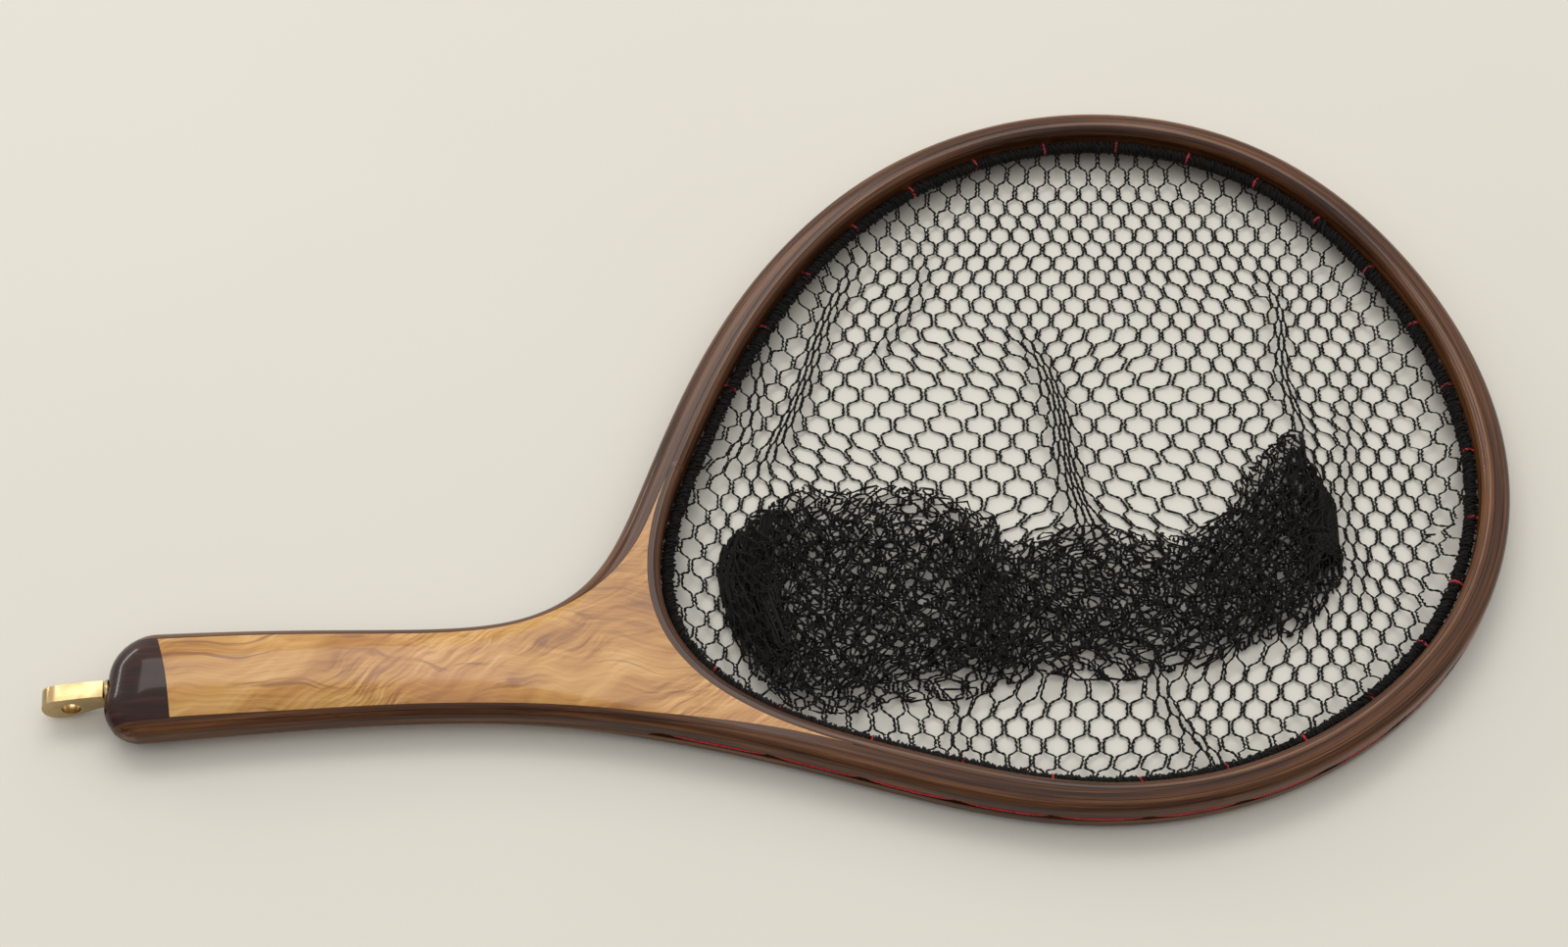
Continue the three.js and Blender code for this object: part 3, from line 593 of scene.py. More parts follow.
def tube_mesh(name, paths, radii, sides):
    """Tubes along several paths as one mesh; a radius is a number or one for each point."""
    angles = 2 * np.pi * np.arange(sides)[:, None] / sides
    vertices, faces, base = [], [], 0
    for path, radius in zip(paths, radii):
        path = np.asarray(path, float)
        _, n, b = frames_along(path)
        r = np.broadcast_to(np.asarray(radius, float), (len(path),))[:, None, None]
        ring = n[:, None] * np.cos(angles) + b[:, None] * np.sin(angles)
        vertices.append((path[:, None] + ring * r).reshape(-1, 3))
        i = np.arange(len(path) - 1)[:, None] * sides + base
        c = np.arange(sides)[None]
        d = (c + 1) % sides
        quads = np.stack([i + c, i + d, i + d + sides, i + c + sides], -1).reshape(-1, 4)
        faces.append(quads)
        base += len(path) * sides
    vertices = np.concatenate(vertices)
    faces = np.concatenate(faces)
    mesh = bpy.data.meshes.new(name)
    mesh.vertices.add(len(vertices))
    mesh.vertices.foreach_set("co", metres(vertices).astype(np.float32).ravel())
    mesh.loops.add(faces.size)
    mesh.loops.foreach_set("vertex_index", faces.ravel().astype(np.int32))
    mesh.polygons.add(len(faces))
    mesh.polygons.foreach_set("loop_start", np.arange(0, faces.size, 4, dtype=np.int32))
    mesh.polygons.foreach_set("use_smooth", np.ones(len(faces), bool))
    mesh.update(calc_edges=True)
    return placed(name, mesh)


def resampled(path, step):
    path = np.asarray(path, float)
    lengths = arc_lengths(path)
    count = max(int(lengths[-1] / step), 2)
    wanted = np.linspace(0, lengths[-1], count + 1)
    return np.column_stack([np.interp(wanted, lengths, path[:, k]) for k in range(3)])


def rounded(path, passes):
    """A path with its corners cut a little at each pass."""
    path = np.asarray(path, float)
    for _ in range(passes):
        a, b = path[:-1], path[1:]
        cut = np.empty((2 * len(a), path.shape[1]))
        cut[0::2] = lerp(a, b, 0.25)
        cut[1::2] = lerp(a, b, 0.75)
        path = np.concatenate([path[:1], cut, path[-1:]])
    return path


def twisted(path, plies, pitch, reach):
    """Strands that wind round a path."""
    _, n, b = frames_along(path)
    turn = 2 * np.pi * arc_lengths(path) / pitch
    strands = []
    for k in range(plies):
        angle = (turn + 2 * np.pi * k / plies)[:, None]
        strands.append(path + reach * (n * np.cos(angle) + b * np.sin(angle)))
    return strands


# ---- materials

class Nodes:
    """A material's node tree, with short ways to add to it."""

    def __init__(self, name):
        self.material = bpy.data.materials.new(name)
        self.material.use_nodes = True
        self.tree = self.material.node_tree
        self.tree.nodes.clear()
        output = self.tree.nodes.new("ShaderNodeOutputMaterial")
        self.shader = self.tree.nodes.new("ShaderNodeBsdfPrincipled")
        self.fill(output.inputs[0], self.shader.outputs[0])

    def fill(self, socket, value):
        """Links a socket to another, or gives it a constant."""
        if isinstance(value, bpy.types.NodeSocket):
            self.tree.links.new(value, socket)
        else:
            socket.default_value = value

    def node(self, kind, inputs=None, **settings):
        node = self.tree.nodes.new(kind)
        for key, value in settings.items():
            setattr(node, key, value)
        for key, value in (inputs or {}).items():
            self.fill(node.inputs[key], value)
        return node

    def set(self, **values):
        for key, value in values.items():
            self.fill(self.shader.inputs[key.replace("_", " ")], value)

    def position(self, scale=(1, 1, 1)):
        return self.mapping(self.node("ShaderNodeTexCoord").outputs["Object"], scale)

    def grain(self, scale):
        source = self.node("ShaderNodeAttribute", attribute_name="grain")
        return self.mapping(source.outputs["Vector"], scale)

    def mapping(self, source, scale, turn=(0, 0, 0)):
        return self.node("ShaderNodeMapping", {
            "Vector": source, "Scale": scale, "Rotation": turn,
        }).outputs[0]

    def noise(self, vector, detail, distortion=0.0, roughness=0.5):
        return self.node("ShaderNodeTexNoise", {
            "Vector": vector, "Scale": 1.0, "Detail": detail, "Distortion": distortion,
            "Roughness": roughness,
        }).outputs["Fac"]

    def ramp(self, factor, stops):
        node = self.node("ShaderNodeValToRGB", {"Fac": factor})
        elements = node.color_ramp.elements
        while len(elements) < len(stops):
            elements.new(0.5)
        for element, (place, colour) in zip(elements, stops):
            element.position = place
            element.color = (*colour, 1)
        return node.outputs["Color"]

    def value(self, factor, low, high, start=0.0, end=1.0):
        return self.node("ShaderNodeMapRange", {
            "Value": factor, "From Min": start, "From Max": end, "To Min": low, "To Max": high,
        }).outputs[0]

    def math(self, operation, a, b):
        return self.node("ShaderNodeMath", {0: a, 1: b}, operation=operation).outputs[0]

    def total(self, *parts):
        """The sum of several (value, weight) pairs."""
        terms = [self.math("MULTIPLY", value, weight) for value, weight in parts]
        result = terms[0]
        for term in terms[1:]:
            result = self.math("ADD", result, term)
        return result

    def mix(self, factor, a, b):
        """From socket a towards the constant colour b."""
        return self.node("ShaderNodeMix", {0: factor, 6: a, 7: (*b, 1)},
                         data_type="RGBA").outputs[2]

    def bump(self, height, strength, distance):
        return self.node("ShaderNodeBump", {
            "Height": height, "Strength": strength, "Distance": distance,
        }).outputs[0]


def lacquer(m, coat, roughness):
    """A clear film over wood that itself hardly shines."""
    m.set(Coat_Weight=coat, Coat_Roughness=roughness, Coat_IOR=1.45, Specular_IOR_Level=0.08)


def walnut(name, dark, middle, light, streak=1.0):
    """Straight-grained brown wood; the grain runs along the bent strip."""
    m = Nodes(name)
    broad = m.noise(m.grain((7, 520 * streak, 260)), 4, 0.5, 0.6)
    fine = m.noise(m.grain((34, 2600, 1300)), 3, 0.2, 0.6)
    patch = m.noise(m.grain((6, 40, 30)), 2)
    pores = m.noise(m.grain((160, 5200, 2600)), 2, 0, 0.4)
    tone = m.total((broad, 0.62), (fine, 0.26), (patch, 0.16))
    colour = m.ramp(tone, [(0.43, dark), (0.53, middle), (0.64, light)])
    pore = m.value(pores, 0.0, 1.0, 0.62, 0.74)
    colour = m.mix(m.math("MULTIPLY", pore, 0.55), colour, tuple(c * 0.35 for c in dark))
    rough = m.value(fine, 0.32, 0.48)
    m.set(Base_Color=colour, Roughness=rough, Normal=m.bump(fine, 0.10, 0.0002))
    lacquer(m, 0.55, 0.07)
    return m.material


def figured_wood(name):
    """Golden figured wood: soft clouds, veins along it, and feathery bands across it."""
    m = Nodes(name)
    place = m.position()
    warp = m.node("ShaderNodeTexNoise", {"Vector": place, "Scale": 16.0, "Detail": 3.0})
    pushed = m.node("ShaderNodeVectorMath", {0: warp.outputs["Color"], 1: (0.05, 0.03, 0.0)},
                    operation="MULTIPLY").outputs[0]
    bent = m.node("ShaderNodeVectorMath", {0: place, 1: pushed}, operation="ADD").outputs[0]
    leaning = m.mapping(bent, (1, 1, 1), (0, 0, math.radians(-38)))
    feather = m.noise(m.mapping(leaning, (70, 620, 60)), 3, 0.3, 0.6)
    band = m.noise(m.mapping(leaning, (20, 120, 20)), 2, 0.8, 0.5)
    grain = m.noise(m.mapping(bent, (26, 900, 200)), 4, 0.4, 0.6)
    cloud = m.noise(m.mapping(bent, (14, 34, 16)), 3, 1.0)
    veins = m.noise(m.mapping(bent, (10, 95, 40)), 4, 2.4, 0.55)
    where = m.noise(m.position((18, 30, 18)), 2)
    feather_here = m.math("MULTIPLY", m.math("SUBTRACT", feather, 0.5),
                          m.value(where, 0.0, 0.85, 0.42, 0.62))
    tone = m.total((band, 0.30), (cloud, 0.46), (grain, 0.24), (feather_here, 0.95))
    colour = m.ramp(tone, [
        (0.36, (0.22, 0.076, 0.010)), (0.45, (0.38, 0.165, 0.028)), (0.54, (0.51, 0.260, 0.062)),
        (0.66, (0.66, 0.40, 0.150)),
    ])
    blush = m.noise(m.position((9, 20, 9)), 2, 0.5)
    colour = m.mix(m.value(blush, 0.0, 0.6, 0.46, 0.62), colour, (0.50, 0.235, 0.095))
    vein = m.value(veins, 0.0, 0.75, 0.58, 0.68)
    colour = m.mix(vein, colour, (0.21, 0.072, 0.013))
    m.set(Base_Color=colour, Roughness=m.value(feather, 0.36, 0.5),
          Normal=m.bump(m.math("ADD", feather, m.math("MULTIPLY", grain, 0.3)), 0.05, 0.0006))
    lacquer(m, 1.0, 0.20)
    return m.material


def cap_wood(name):
    m = Nodes(name)
    streaks = m.noise(m.position((30, 420, 260)), 4, 0.8, 0.6)
    broad = m.noise(m.position((14, 70, 60)), 3, 1.2)
    tone = m.total((streaks, 0.6), (broad, 0.4))
    colour = m.ramp(tone, [
        (0.38, (0.008, 0.0018, 0.0012)), (0.54, (0.026, 0.0058, 0.0036)),
        (0.68, (0.060, 0.0145, 0.0085)),
    ])
    m.set(Base_Color=colour, Roughness=m.value(streaks, 0.22, 0.34),
          Normal=m.bump(streaks, 0.05, 0.0002))
    lacquer(m, 0.5, 0.10)
    return m.material


def metal(name, colour, tarnish, roughness):
    m = Nodes(name)
    cloud = m.noise(m.position((160, 160, 160)), 4, 0.4)
    scratches = m.noise(m.position((260, 4200, 2600)), 2)
    base = m.ramp(cloud, [(0.30, tarnish), (0.55, colour)])
    rough = m.math("ADD", m.value(cloud, roughness + 0.06, roughness, 0.3, 0.7),
                   m.value(scratches, 0.0, 0.05, 0.4, 0.7))
    m.set(Base_Color=base, Metallic=1.0, Roughness=rough,
          Normal=m.bump(scratches, 0.05, 0.00006))
    return m.material


def yarn(name, dark, light, sheen, roughness):
    """Soft twisted fibre: uneven colour and a fine fibrous surface."""
    m = Nodes(name)
    fibres = m.noise(m.position((5200, 5200, 5200)), 2)
    patches = m.noise(m.position((260, 260, 260)), 3)
    tone = m.total((fibres, 0.55), (patches, 0.45))
    colour = m.ramp(tone, [(0.36, dark), (0.66, light)])
    m.set(Base_Color=colour, Roughness=m.value(fibres, roughness, roughness + 0.2),
          Sheen_Weight=sheen, Sheen_Roughness=0.5, Specular_IOR_Level=0.2,
          Normal=m.bump(fibres, 0.5, 0.00015))
    return m.material


def plastic(name, colour):
    m = Nodes(name)
    cloud = m.noise(m.position((900, 900, 900)), 3)
    low = tuple(c * 0.82 for c in colour)
    m.set(Base_Color=m.ramp(cloud, [(0.3, low), (0.7, colour)]),
          Roughness=m.value(cloud, 0.42, 0.6))
    return m.material


def floor_paper(name):
    m = Nodes(name)
    cloud = m.noise(m.position((3, 3, 3)), 3)
    grain = m.noise(m.position((900, 900, 900)), 2)
    colour = m.ramp(cloud, [(0.3, (0.69, 0.665, 0.605)), (0.7, (0.705, 0.685, 0.625))])
    m.set(Base_Color=colour, Roughness=m.value(grain, 0.72, 0.85))
    return m.material


def dress(obj, material):
    obj.data.materials.clear()
    obj.data.materials.append(material)


# ---- wood

def build_wood():
    looks = {
        "walnut_outer": walnut("walnut_outer", (0.028, 0.0088, 0.0032),
                               (0.096, 0.035, 0.0115), (0.215, 0.088, 0.031)),
        "walnut_dark": walnut("walnut_dark", (0.022, 0.0066, 0.0026),
                              (0.072, 0.0245, 0.0082), (0.150, 0.058, 0.020), 0.8),
    }
    cutters = drills()
    edge_path = edge(np.linspace(0, EDGE_SPANS, 2400))
    round_in = np.concatenate([[0], 1 - np.cos(np.linspace(0, math.pi / 2, 11)[1:])])
    plies = [
        (outer_ply("ply_outer_outside", 0, 0.5, round_in, True),
         "outer_lamination_outside", "walnut_outer", edge_path),
        (outer_ply("ply_outer_inside", 0.5, 1, np.linspace(0, 1, 6), False),
         "outer_lamination_inside", "walnut_dark", edge_path),
        (inner_ply("ply_inner_outside", 0, INNER_STACK / 2 - GLUE, np.linspace(0, 1, 4)),
         "inner_lamination_outside", "walnut_outer", LOOP),
        (inner_ply("ply_inner_inside", INNER_STACK / 2, INNER_STACK, 1 - round_in[::-1]),
         "inner_lamination_inside", "walnut_dark", LOOP),
    ]
    for obj, node, slot, path in plies:
        boolean(obj, cutters)
        grain_along(obj, path)
        shade(obj)
        dress(obj, looks[slot])
        stand_for(obj, node, slot)
    core = handle_form()
    outline = prism("core_plan", core_outline())
    boolean(core, outline, "INTERSECT")
    boolean(core, cutters)
    shade(core)
    dress(core, figured_wood("figured_core"))
    stand_for(core, "handle_core", "figured_core")
    cap = plate("cap_wood", cap_grid(56, 34))
    bore = lathe("bore", [(-18, 0), (-18, 4.15), (-1, 4.15), (-1, 5.2), (4, 5.2), (4, 0)], 48)
    boolean(cap, bore)
    shade(cap, 40)
    dress(cap, cap_wood("dark_cap_wood"))
    stand_for(cap, "butt_cap", "dark_cap_wood")
    for helper in (cutters, outline, bore):
        remove(helper)


# ---- eye

def at_swivel(points):
    """From the eye's own frame, +X out of the butt, to plan millimetres."""
    points = np.asarray(points, float)
    turn = math.pi + EYE_ANGLE
    c, s = math.cos(turn), math.sin(turn)
    x = points[:, 0] * c - points[:, 1] * s
    y = points[:, 0] * s + points[:, 1] * c
    return np.column_stack([x, y, points[:, 2]]) + SWIVEL


def lathe(name, profile, sides=64):
    """A solid turned about the swivel's axis, from (along, radius) pairs."""
    bm = bmesh.new()
    rings = []
    for along, radius in profile:
        if radius == 0:
            p = metres(at_swivel([(along, 0, 0)]))[0]
            rings.append([bm.verts.new(p)])
            continue
        angles = 2 * np.pi * np.arange(sides) / sides
        local = np.column_stack([np.full(sides, along), radius * np.cos(angles),
                                 radius * np.sin(angles)])
        rings.append([bm.verts.new(p) for p in metres(at_swivel(local))])
    pairs = list(zip(rings, rings[1:]))
    if profile[0][1] > 0:
        pairs.append((rings[-1], rings[0]))
    for a, b in pairs:
        for i in range(sides):
            j = (i + 1) % sides
            corners = [a[i % len(a)], a[j % len(a)], b[j % len(b)], b[i % len(b)]]
            distinct = list(dict.fromkeys(corners))
            if len(distinct) > 2:
                bm.faces.new(distinct)
    bmesh.ops.recalc_face_normals(bm, faces=bm.faces)
    return from_bmesh(name, bm)


def tongue_outline():
    """Side view of the flat eye, [along, up]; bezier corners between straight runs."""
    runs = [
        [(18, 3.4), (22.6, 3.2), (23.6, 0.4), (23.4, -2.4)],
        [(23.4, -2.4), (23.1, -5.8), (20.6, -7.4), (17.2, -7.2)],
        [(17.2, -7.2), (11, -6.6), (7, -3.6), (2, -3.4)],
    ]
    points = [np.array([[2, 3.2], [6, 3.25], [12, 3.35]])]
    for run in runs:
        points.append(bezier(np.array(run, float), np.linspace(0, 1, 15)[:-1]))
    points.append(np.array([[2, -3.4]]))
    return np.concatenate(points)


def eye_tongue():
    outline = tongue_outline()
    outward = 1.0
    along = np.roll(outline, -1, 0) - np.roll(outline, 1, 0)
    along /= np.linalg.norm(along, axis=1, keepdims=True)
    outline = outline + np.column_stack([-along[:, 1], along[:, 0]]) * outward
    outline[:, 0] = np.maximum(outline[:, 0], 1.0)
    half = EYE_THICKNESS / 2
    rings = []
    for side in (-half, half):
        local = np.column_stack([outline[:, 0], np.full(len(outline), side), outline[:, 1]])
        rings.append(at_swivel(local))
    tongue = loft("brass_eye", np.stack(rings))
    through = at_swivel([(EYE_HOLE_ALONG, across, EYE_HOLE_UP) for across in (-9, 9)])
    hole = rods("eye_hole", [through], EYE_HOLE_RADIUS, 56)
    boolean(tongue, hole)
    remove(hole)
    bevel = tongue.modifiers.new("bevel", "BEVEL")
    bevel.width = EYE_BEVEL / 1000
    bevel.segments = 7
    bevel.limit_method = "ANGLE"
    bevel.angle_limit = math.radians(40)
    baked(tongue)
    return tongue


def build_eye():
    brass = metal("polished_brass", (0.50, 0.375, 0.195), (0.40, 0.285, 0.13), 0.18)
    tongue = eye_tongue()
    stem = lathe("eye_stem", [
        (-15, 0), (-15, 2.1), (-14.6, 2.5), (-14, 2.5), (-14, 1.8), (-13, 1.8), (-13, 2.5),
        (0.2, 2.5), (0.6, 2.75), (1, 3.1), (1.6, 3.3), (2.4, 3.1), (2.6, 2.6), (2.6, 0),
    ])
    bush = lathe("brass_bush", [
        (-12, 2.6), (-12, 4), (-0.8, 4), (-0.8, 5), (0, 5), (0.25, 4.92), (0.43, 4.74),
        (0.5, 4.5), (0.5, 3.5), (0.1, 2.6),
    ])
    for obj in (tongue, stem, bush):
        shade(obj, 32)
        dress(obj, brass)
    stand_for(tongue, "eye_tongue", "polished_brass", "swivel_eye")
    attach(stem, "swivel_eye")
    stand_for(bush, "eye_bush", "polished_brass")
    nylon = plastic("washer_nylon", (0.78, 0.75, 0.66))
    steel = metal("spring_steel", (0.56, 0.56, 0.54), (0.4, 0.4, 0.39), 0.3)
    dress(frame["nodes"]["thrust_washer"], nylon)
    dress(frame["nodes"]["snap_ring"], steel)


# ---- lacing and border cord

GROOVE_THREAD_DEPTH = 0.4
HOLE_BENDS = [(1.05, 0.5, -0.7), (3, 0.6, 0)]    # depth, height, and place along the hoop
PAST_WOOD, PAST_WOOD_UP = 0.35, 0.85             # the thread where it leaves the wood
THREAD_STEP, THREAD_TWIST, THREAD_REACH, THREAD_PLY_RADIUS = 0.45, 2.4, 0.32, 0.36
CORD_STEP, CORD_TWIST, CORD_REACH, CORD_PLY_RADIUS, CORD_LUMPS = 0.9, 9, 0.95, 1.15, 0.15
WRAP_STEP, WRAP_TWIST, WRAP_REACH, WRAP_RADIUS, WRAP_UNEVEN = 0.6, 3.7, 2.3, 0.38, 0.34
CORD_PLIES, WRAPS = 3, 4


def lacing_points():
    """Bends of the red thread: along the groove, and in, round the cord and out at each hole."""
    def in_groove(u):
        return hoop_point(u, GROOVE_THREAD_DEPTH, 0)

    points = [in_groove(GROOVE_START_U + 0.1), in_groove(GROOVE_START_U + 0.28)]
    reach = BORDER_RADIUS / math.cos(math.pi / 6)
    turn = [(reach * math.cos(a), reach * math.sin(a))
            for a in np.radians([120, 60, 0, -60, -120])]
    for i, u in enumerate(STITCHES):
        wood, cord = depth_to_loop(u, INNER_STACK), depth_to_loop(u, BORDER_OFFSET)
        bends = HOLE_BENDS + [(wood + PAST_WOOD, PAST_WOOD_UP, 0)]
        points += [hoop_point(u, depth, up, place) for depth, up, place in bends]
        points += [hoop_point(u, cord + inwards, up) for inwards, up in turn]
        points += [hoop_point(u, depth, -up, -place) for depth, up, place in bends[::-1]]
        after = STITCHES[i + 1] if i + 1 < len(STITCHES) else THROAT_HOLE_U
        points += [in_groove(lerp(u, after, t)) for t in (0.25, 0.5, 0.75)]
    outside, inside, along, normal = throat_hole()
    up = np.array([0, 0, 1.0])
    cord = inside + along * (BORDER_GAP + BORDER_RADIUS) / (along[:2] @ normal)
    points += [outside + along * 1.2 + up * 0.3, outside + along * 4 + up * 0.6,
               inside + along * PAST_WOOD + up * PAST_WOOD_UP]
    points += [cord + along * inwards + up * height for inwards, height in turn]
    points += [inside + along * PAST_WOOD - up * PAST_WOOD_UP, inside - along * 8 - up * 0.6]
    return points


def build_lacing():
    path = resampled(rounded(lacing_points(), 2), THREAD_STEP)
    plies = twisted(path, 2, THREAD_TWIST, THREAD_REACH)
    thread = tube_mesh("red_lacing", plies, [THREAD_PLY_RADIUS] * 2, 6)
    dress(thread, yarn("red_thread", (0.34, 0.010, 0.016), (0.74, 0.026, 0.035), 0.3, 0.5))
    stand_for(thread, "lacing_thread", "red_thread")


def build_border(material):
    """The rolled edge of the netting: a lumpy laid cord with close turns of yarn on it."""
    rng = np.random.default_rng(7)
    ring = np.column_stack([BORDER_LINE, centre_height(BORDER_LINE[:, 0])])
    ring = np.roll(ring, 20, 0)                  # its ends meet at the throat
    path = resampled(np.concatenate([ring, ring[:1]]), CORD_STEP)
    lumps = np.convolve(rng.normal(0, 1, len(path)), np.ones(5) / 5, "same")
    plies = twisted(path, CORD_PLIES, CORD_TWIST, CORD_REACH)
    wraps = twisted(resampled(path, WRAP_STEP), WRAPS, WRAP_TWIST, WRAP_REACH)
    wraps = [wrap + rng.normal(0, WRAP_UNEVEN, wrap.shape) for wrap in wraps]
    radii = [CORD_PLY_RADIUS + CORD_LUMPS * lumps] * CORD_PLIES + [WRAP_RADIUS] * WRAPS
    cord = tube_mesh("net_border", plies + wraps, radii, 6)
    dress(cord, material)
    stand_for(cord, "net_border_cord", "netting")


# ---- netting

# x and y along the folded end's far and near edges
FOLD_TOP = [(-25, -50), (-20, -31), (-7, -16), (9, -11), (35, -10), (58, -13), (74, -21),
            (84, -33), (91, -36), (98, -30), (108, -26), (122, -27), (154, -34), (176, -11),
            (196, 10), (206, 20), (213, -8), (219, -45)]
FOLD_LOW = [(-25, -58), (-15, -88), (0, -107), (20, -113), (38, -107), (70, -100), (103, -95),
            (140, -93), (169, -86), (198, -72), (212, -57), (219, -47)]
RIDGES = [                   # x and y of each end, width taken up, half breadth, height
    ((101, 60), (121, -26), 28, 5.2, 6.5),
    ((202, 92), (209, 24), 15, 3.6, 5.0),
    ((29, 95), (-8, 6), 20, 4.6, 5.0),
    ((62, 112), (40, 58), 7, 3.4, 2.4),
    ((-2, 62), (-24, 0), 8, 3.6, 2.5),
    ((228, 40), (222, -60), 6, 4.0, 2.0),
    ((158, -138), (140, -90), 11, 3.4, 3.2),
    ((58, -146), (70, -104), 6, 3.0, 2.5),
]
LAYERS = 5                   # thicknesses of netting in the folded end
LAYER_GAP = 1.9
GATHER = 1.75                # the folded netting is pushed together by this much
NET_GROUND = 0.9             # height of the wall where it lies on the ground
SAG_REACH, SAG_POWER = 24, 2.1
LINE_WANDER, FOLD_BULGE = 2.2, 2.8
SINGLE_WARP, FOLDED_WARP = 0.8, 2.4
LAYER_ROWS, NEAR_ROWS = (46, 44, 44, 44), 80
CRUMPLE, CRUMPLE_SIZE = 1.1, 13
MESH_ROW = MESH_PITCH * 0.87
STRAND_BENDS = [             # place within a row of meshes, and distance out from the column
    (-0.36, 0.34), (-0.24, 0.92), (-0.12, 0.30), (0.0, 0.92), (0.12, 0.30), (0.24, 0.92),
    (0.36, 0.34),
]
STRAND_RADIUS = 0.55
FLAT_UNEVEN, LYING_UNEVEN = 0.10, 0.07
YARN_RADIUS, YARN_REACH, YARN_TWIST, YARN_UNEVEN = 0.28, 0.26, 5, 0.18
LONGEST_RUN = 120            # points in one run, so that each panel counts as one layer
PANEL_POINTS = 11500         # most points of strand in one panel


def curve_of(points):
    points = np.array(points, float)
    return lambda x: np.interp(x, points[:, 0], points[:, 1])


def waves(x, y, seed, size):
    """Smooth uneven values about zero, much like slow noise, with a given wavelength."""
    rng = np.random.default_rng(seed)
    total = np.zeros(np.broadcast(x, y).shape)
    for _ in range(9):
        angle, phase = rng.uniform(0, 2 * math.pi, 2)
        k = 2 * math.pi / (size * rng.uniform(0.6, 1.7))
        total = total + np.sin(k * (x * math.cos(angle) + y * math.sin(angle)) + phase)
    return total / 3


def rim_crossings(x):
    """The far and near y of the net's border at each x."""
    far, near = np.full(len(x), -1e9), np.full(len(x), 1e9)
    for p, q in zip(BORDER_LINE, np.roll(BORDER_LINE, -1, 0)):
        low, high = sorted((p[0], q[0]))
        here = (x >= low) & (x <= high)
        if high - low > 1e-9:
            y = lerp(p[1], q[1], (x - p[0]) / (q[0] - p[0]))
            far = np.where(here, np.maximum(far, y), far)
            near = np.where(here, np.minimum(near, y), near)
    return far, near


def resting_height(points):
    """Height of the wall of the bag: up at the border, down on the ground inside."""
    d = distance_to(BORDER_LINE, points)
    rim_z = centre_height(points[:, 0]) - 0.6
    sag = np.clip(1 - d / SAG_REACH, 0, 1) ** SAG_POWER
    return NET_GROUND + (rim_z - NET_GROUND) * sag


def ridge_field(x, y):
    """Cloth taken up by the narrow ridges, and their height."""
    taken, height = np.zeros(x.shape), np.zeros(x.shape)
    for (x0, y0), (x1, y1), width, breadth, rise in RIDGES:
        t = (y - y0) / (y1 - y0)
        fade = smooth(t, -0.25, 0.3) * (1 - smooth(t, 0.85, 1.2))
        wander = 3.0 * np.sin(t * 5.0 + x0)
        place = x - lerp(x0, x1, t) - wander
        step = smooth(place, -breadth, breadth) - 0.5
        taken += width * fade * step * np.exp(-(place / 55) ** 2)
        height += rise * fade * np.exp(-(place / breadth) ** 2)
    return taken, height


class Sheet:
    """A stretch of netting: points in space over a grid, and where each is in the flat net."""

    def __init__(self, space, flat):
        rows, columns = flat.shape[:2]
        self.space, self.flat = space.reshape(-1, 3), flat.reshape(-1, 2)
        i = (np.arange(rows - 1)[:, None] * columns + np.arange(columns - 1)).ravel()
        self.triangles = np.concatenate([
            np.column_stack([i, i + 1, i + columns + 1]),
            np.column_stack([i, i + columns + 1, i + columns]),
        ])
        a, b, c = (self.flat[self.triangles[:, k]] for k in range(3))
        area = np.abs((b - a)[:, 0] * (c - a)[:, 1] - (b - a)[:, 1] * (c - a)[:, 0]) / 2
        self.triangles = self.triangles[area > 1e-3]
        points = [Vector((u, v, 0)) for u, v in self.flat]
        self.tree = BVHTree.FromPolygons(points, self.triangles.tolist())

    def locate(self, flat_points):
        """Points in space for points of the flat net, and which of them are inside it."""
        space = np.empty((len(flat_points), 3))
        inside = np.empty(len(flat_points), bool)
        for k, (u, v) in enumerate(flat_points):
            hit, _, face, distance = self.tree.find_nearest((u, v, 0))
            corners = self.triangles[face]
            a, b, c = self.flat[corners]
            p = np.array(hit[:2])
            across, up, to = b - a, c - a, p - a
            whole = across[0] * up[1] - across[1] * up[0]
            s = (to[0] * up[1] - to[1] * up[0]) / whole
            t = (across[0] * to[1] - across[1] * to[0]) / whole
            first, second, third = self.space[corners]
            space[k] = (1 - s - t) * first + s * second + t * third
            inside[k] = distance < 0.05
        return space, inside


def column_positions():
    """Columns across the hoop, closer together at both ends and at the folds' ends."""
    low, high = BORDER_LINE[:, 0].min() + 0.2, BORDER_LINE[:, 0].max() - 0.2
    even = lerp(low, high, 0.5 - 0.5 * np.cos(np.linspace(0, math.pi, 130)))
    return np.unique(np.round(np.concatenate([even, np.linspace(-27, 8, 30),
                                              np.linspace(196, 220, 20)]), 3))


def crumpled(points, seed, amount):
    """Small folds that take up the length of netting pushed together."""
    amount = amount * smooth(distance_to(BORDER_LINE, points[:, :2]), 2, 12) * CRUMPLE
    x, y = points[:, 0], points[:, 1]
    return points + np.column_stack([
        waves(x, y, seed + axis, CRUMPLE_SIZE) * amount for axis in range(3)])


def layer_height(points, k, s, thick, low):
    """Height of one layer of the folded net; each fold rises half a layer at its edge."""
    level = k + 0.5 * smooth(s, 0.88, 1)
    if k > 0:
        level = level - 0.5 * (1 - smooth(s, 0, 0.12))
    stacked = level * LAYER_GAP * thick
    if k == LAYERS - 1:
        stacked = stacked * smooth(points[:, 1], low - 9, low + 3)
    uneven = waves(points[:, 0], points[:, 1], 40 + k, 26) * 0.55 * np.clip(stacked / 3, 0, 1)
    return resting_height(points) + stacked + uneven


def slack_along(x, lines, first, last):
    """How much more netting than average a sloping stretch of the fold lines takes, so far."""
    slope = np.mean([np.abs(np.gradient(line, x)) for line in lines], 0).clip(0, 3)
    steps = (np.hypot(1, slope) - 1)[1:] * np.diff(x)
    slack = np.concatenate([[0], np.cumsum(steps)])
    return slack - np.interp(x, [first, last], np.interp([first, last], x, slack))


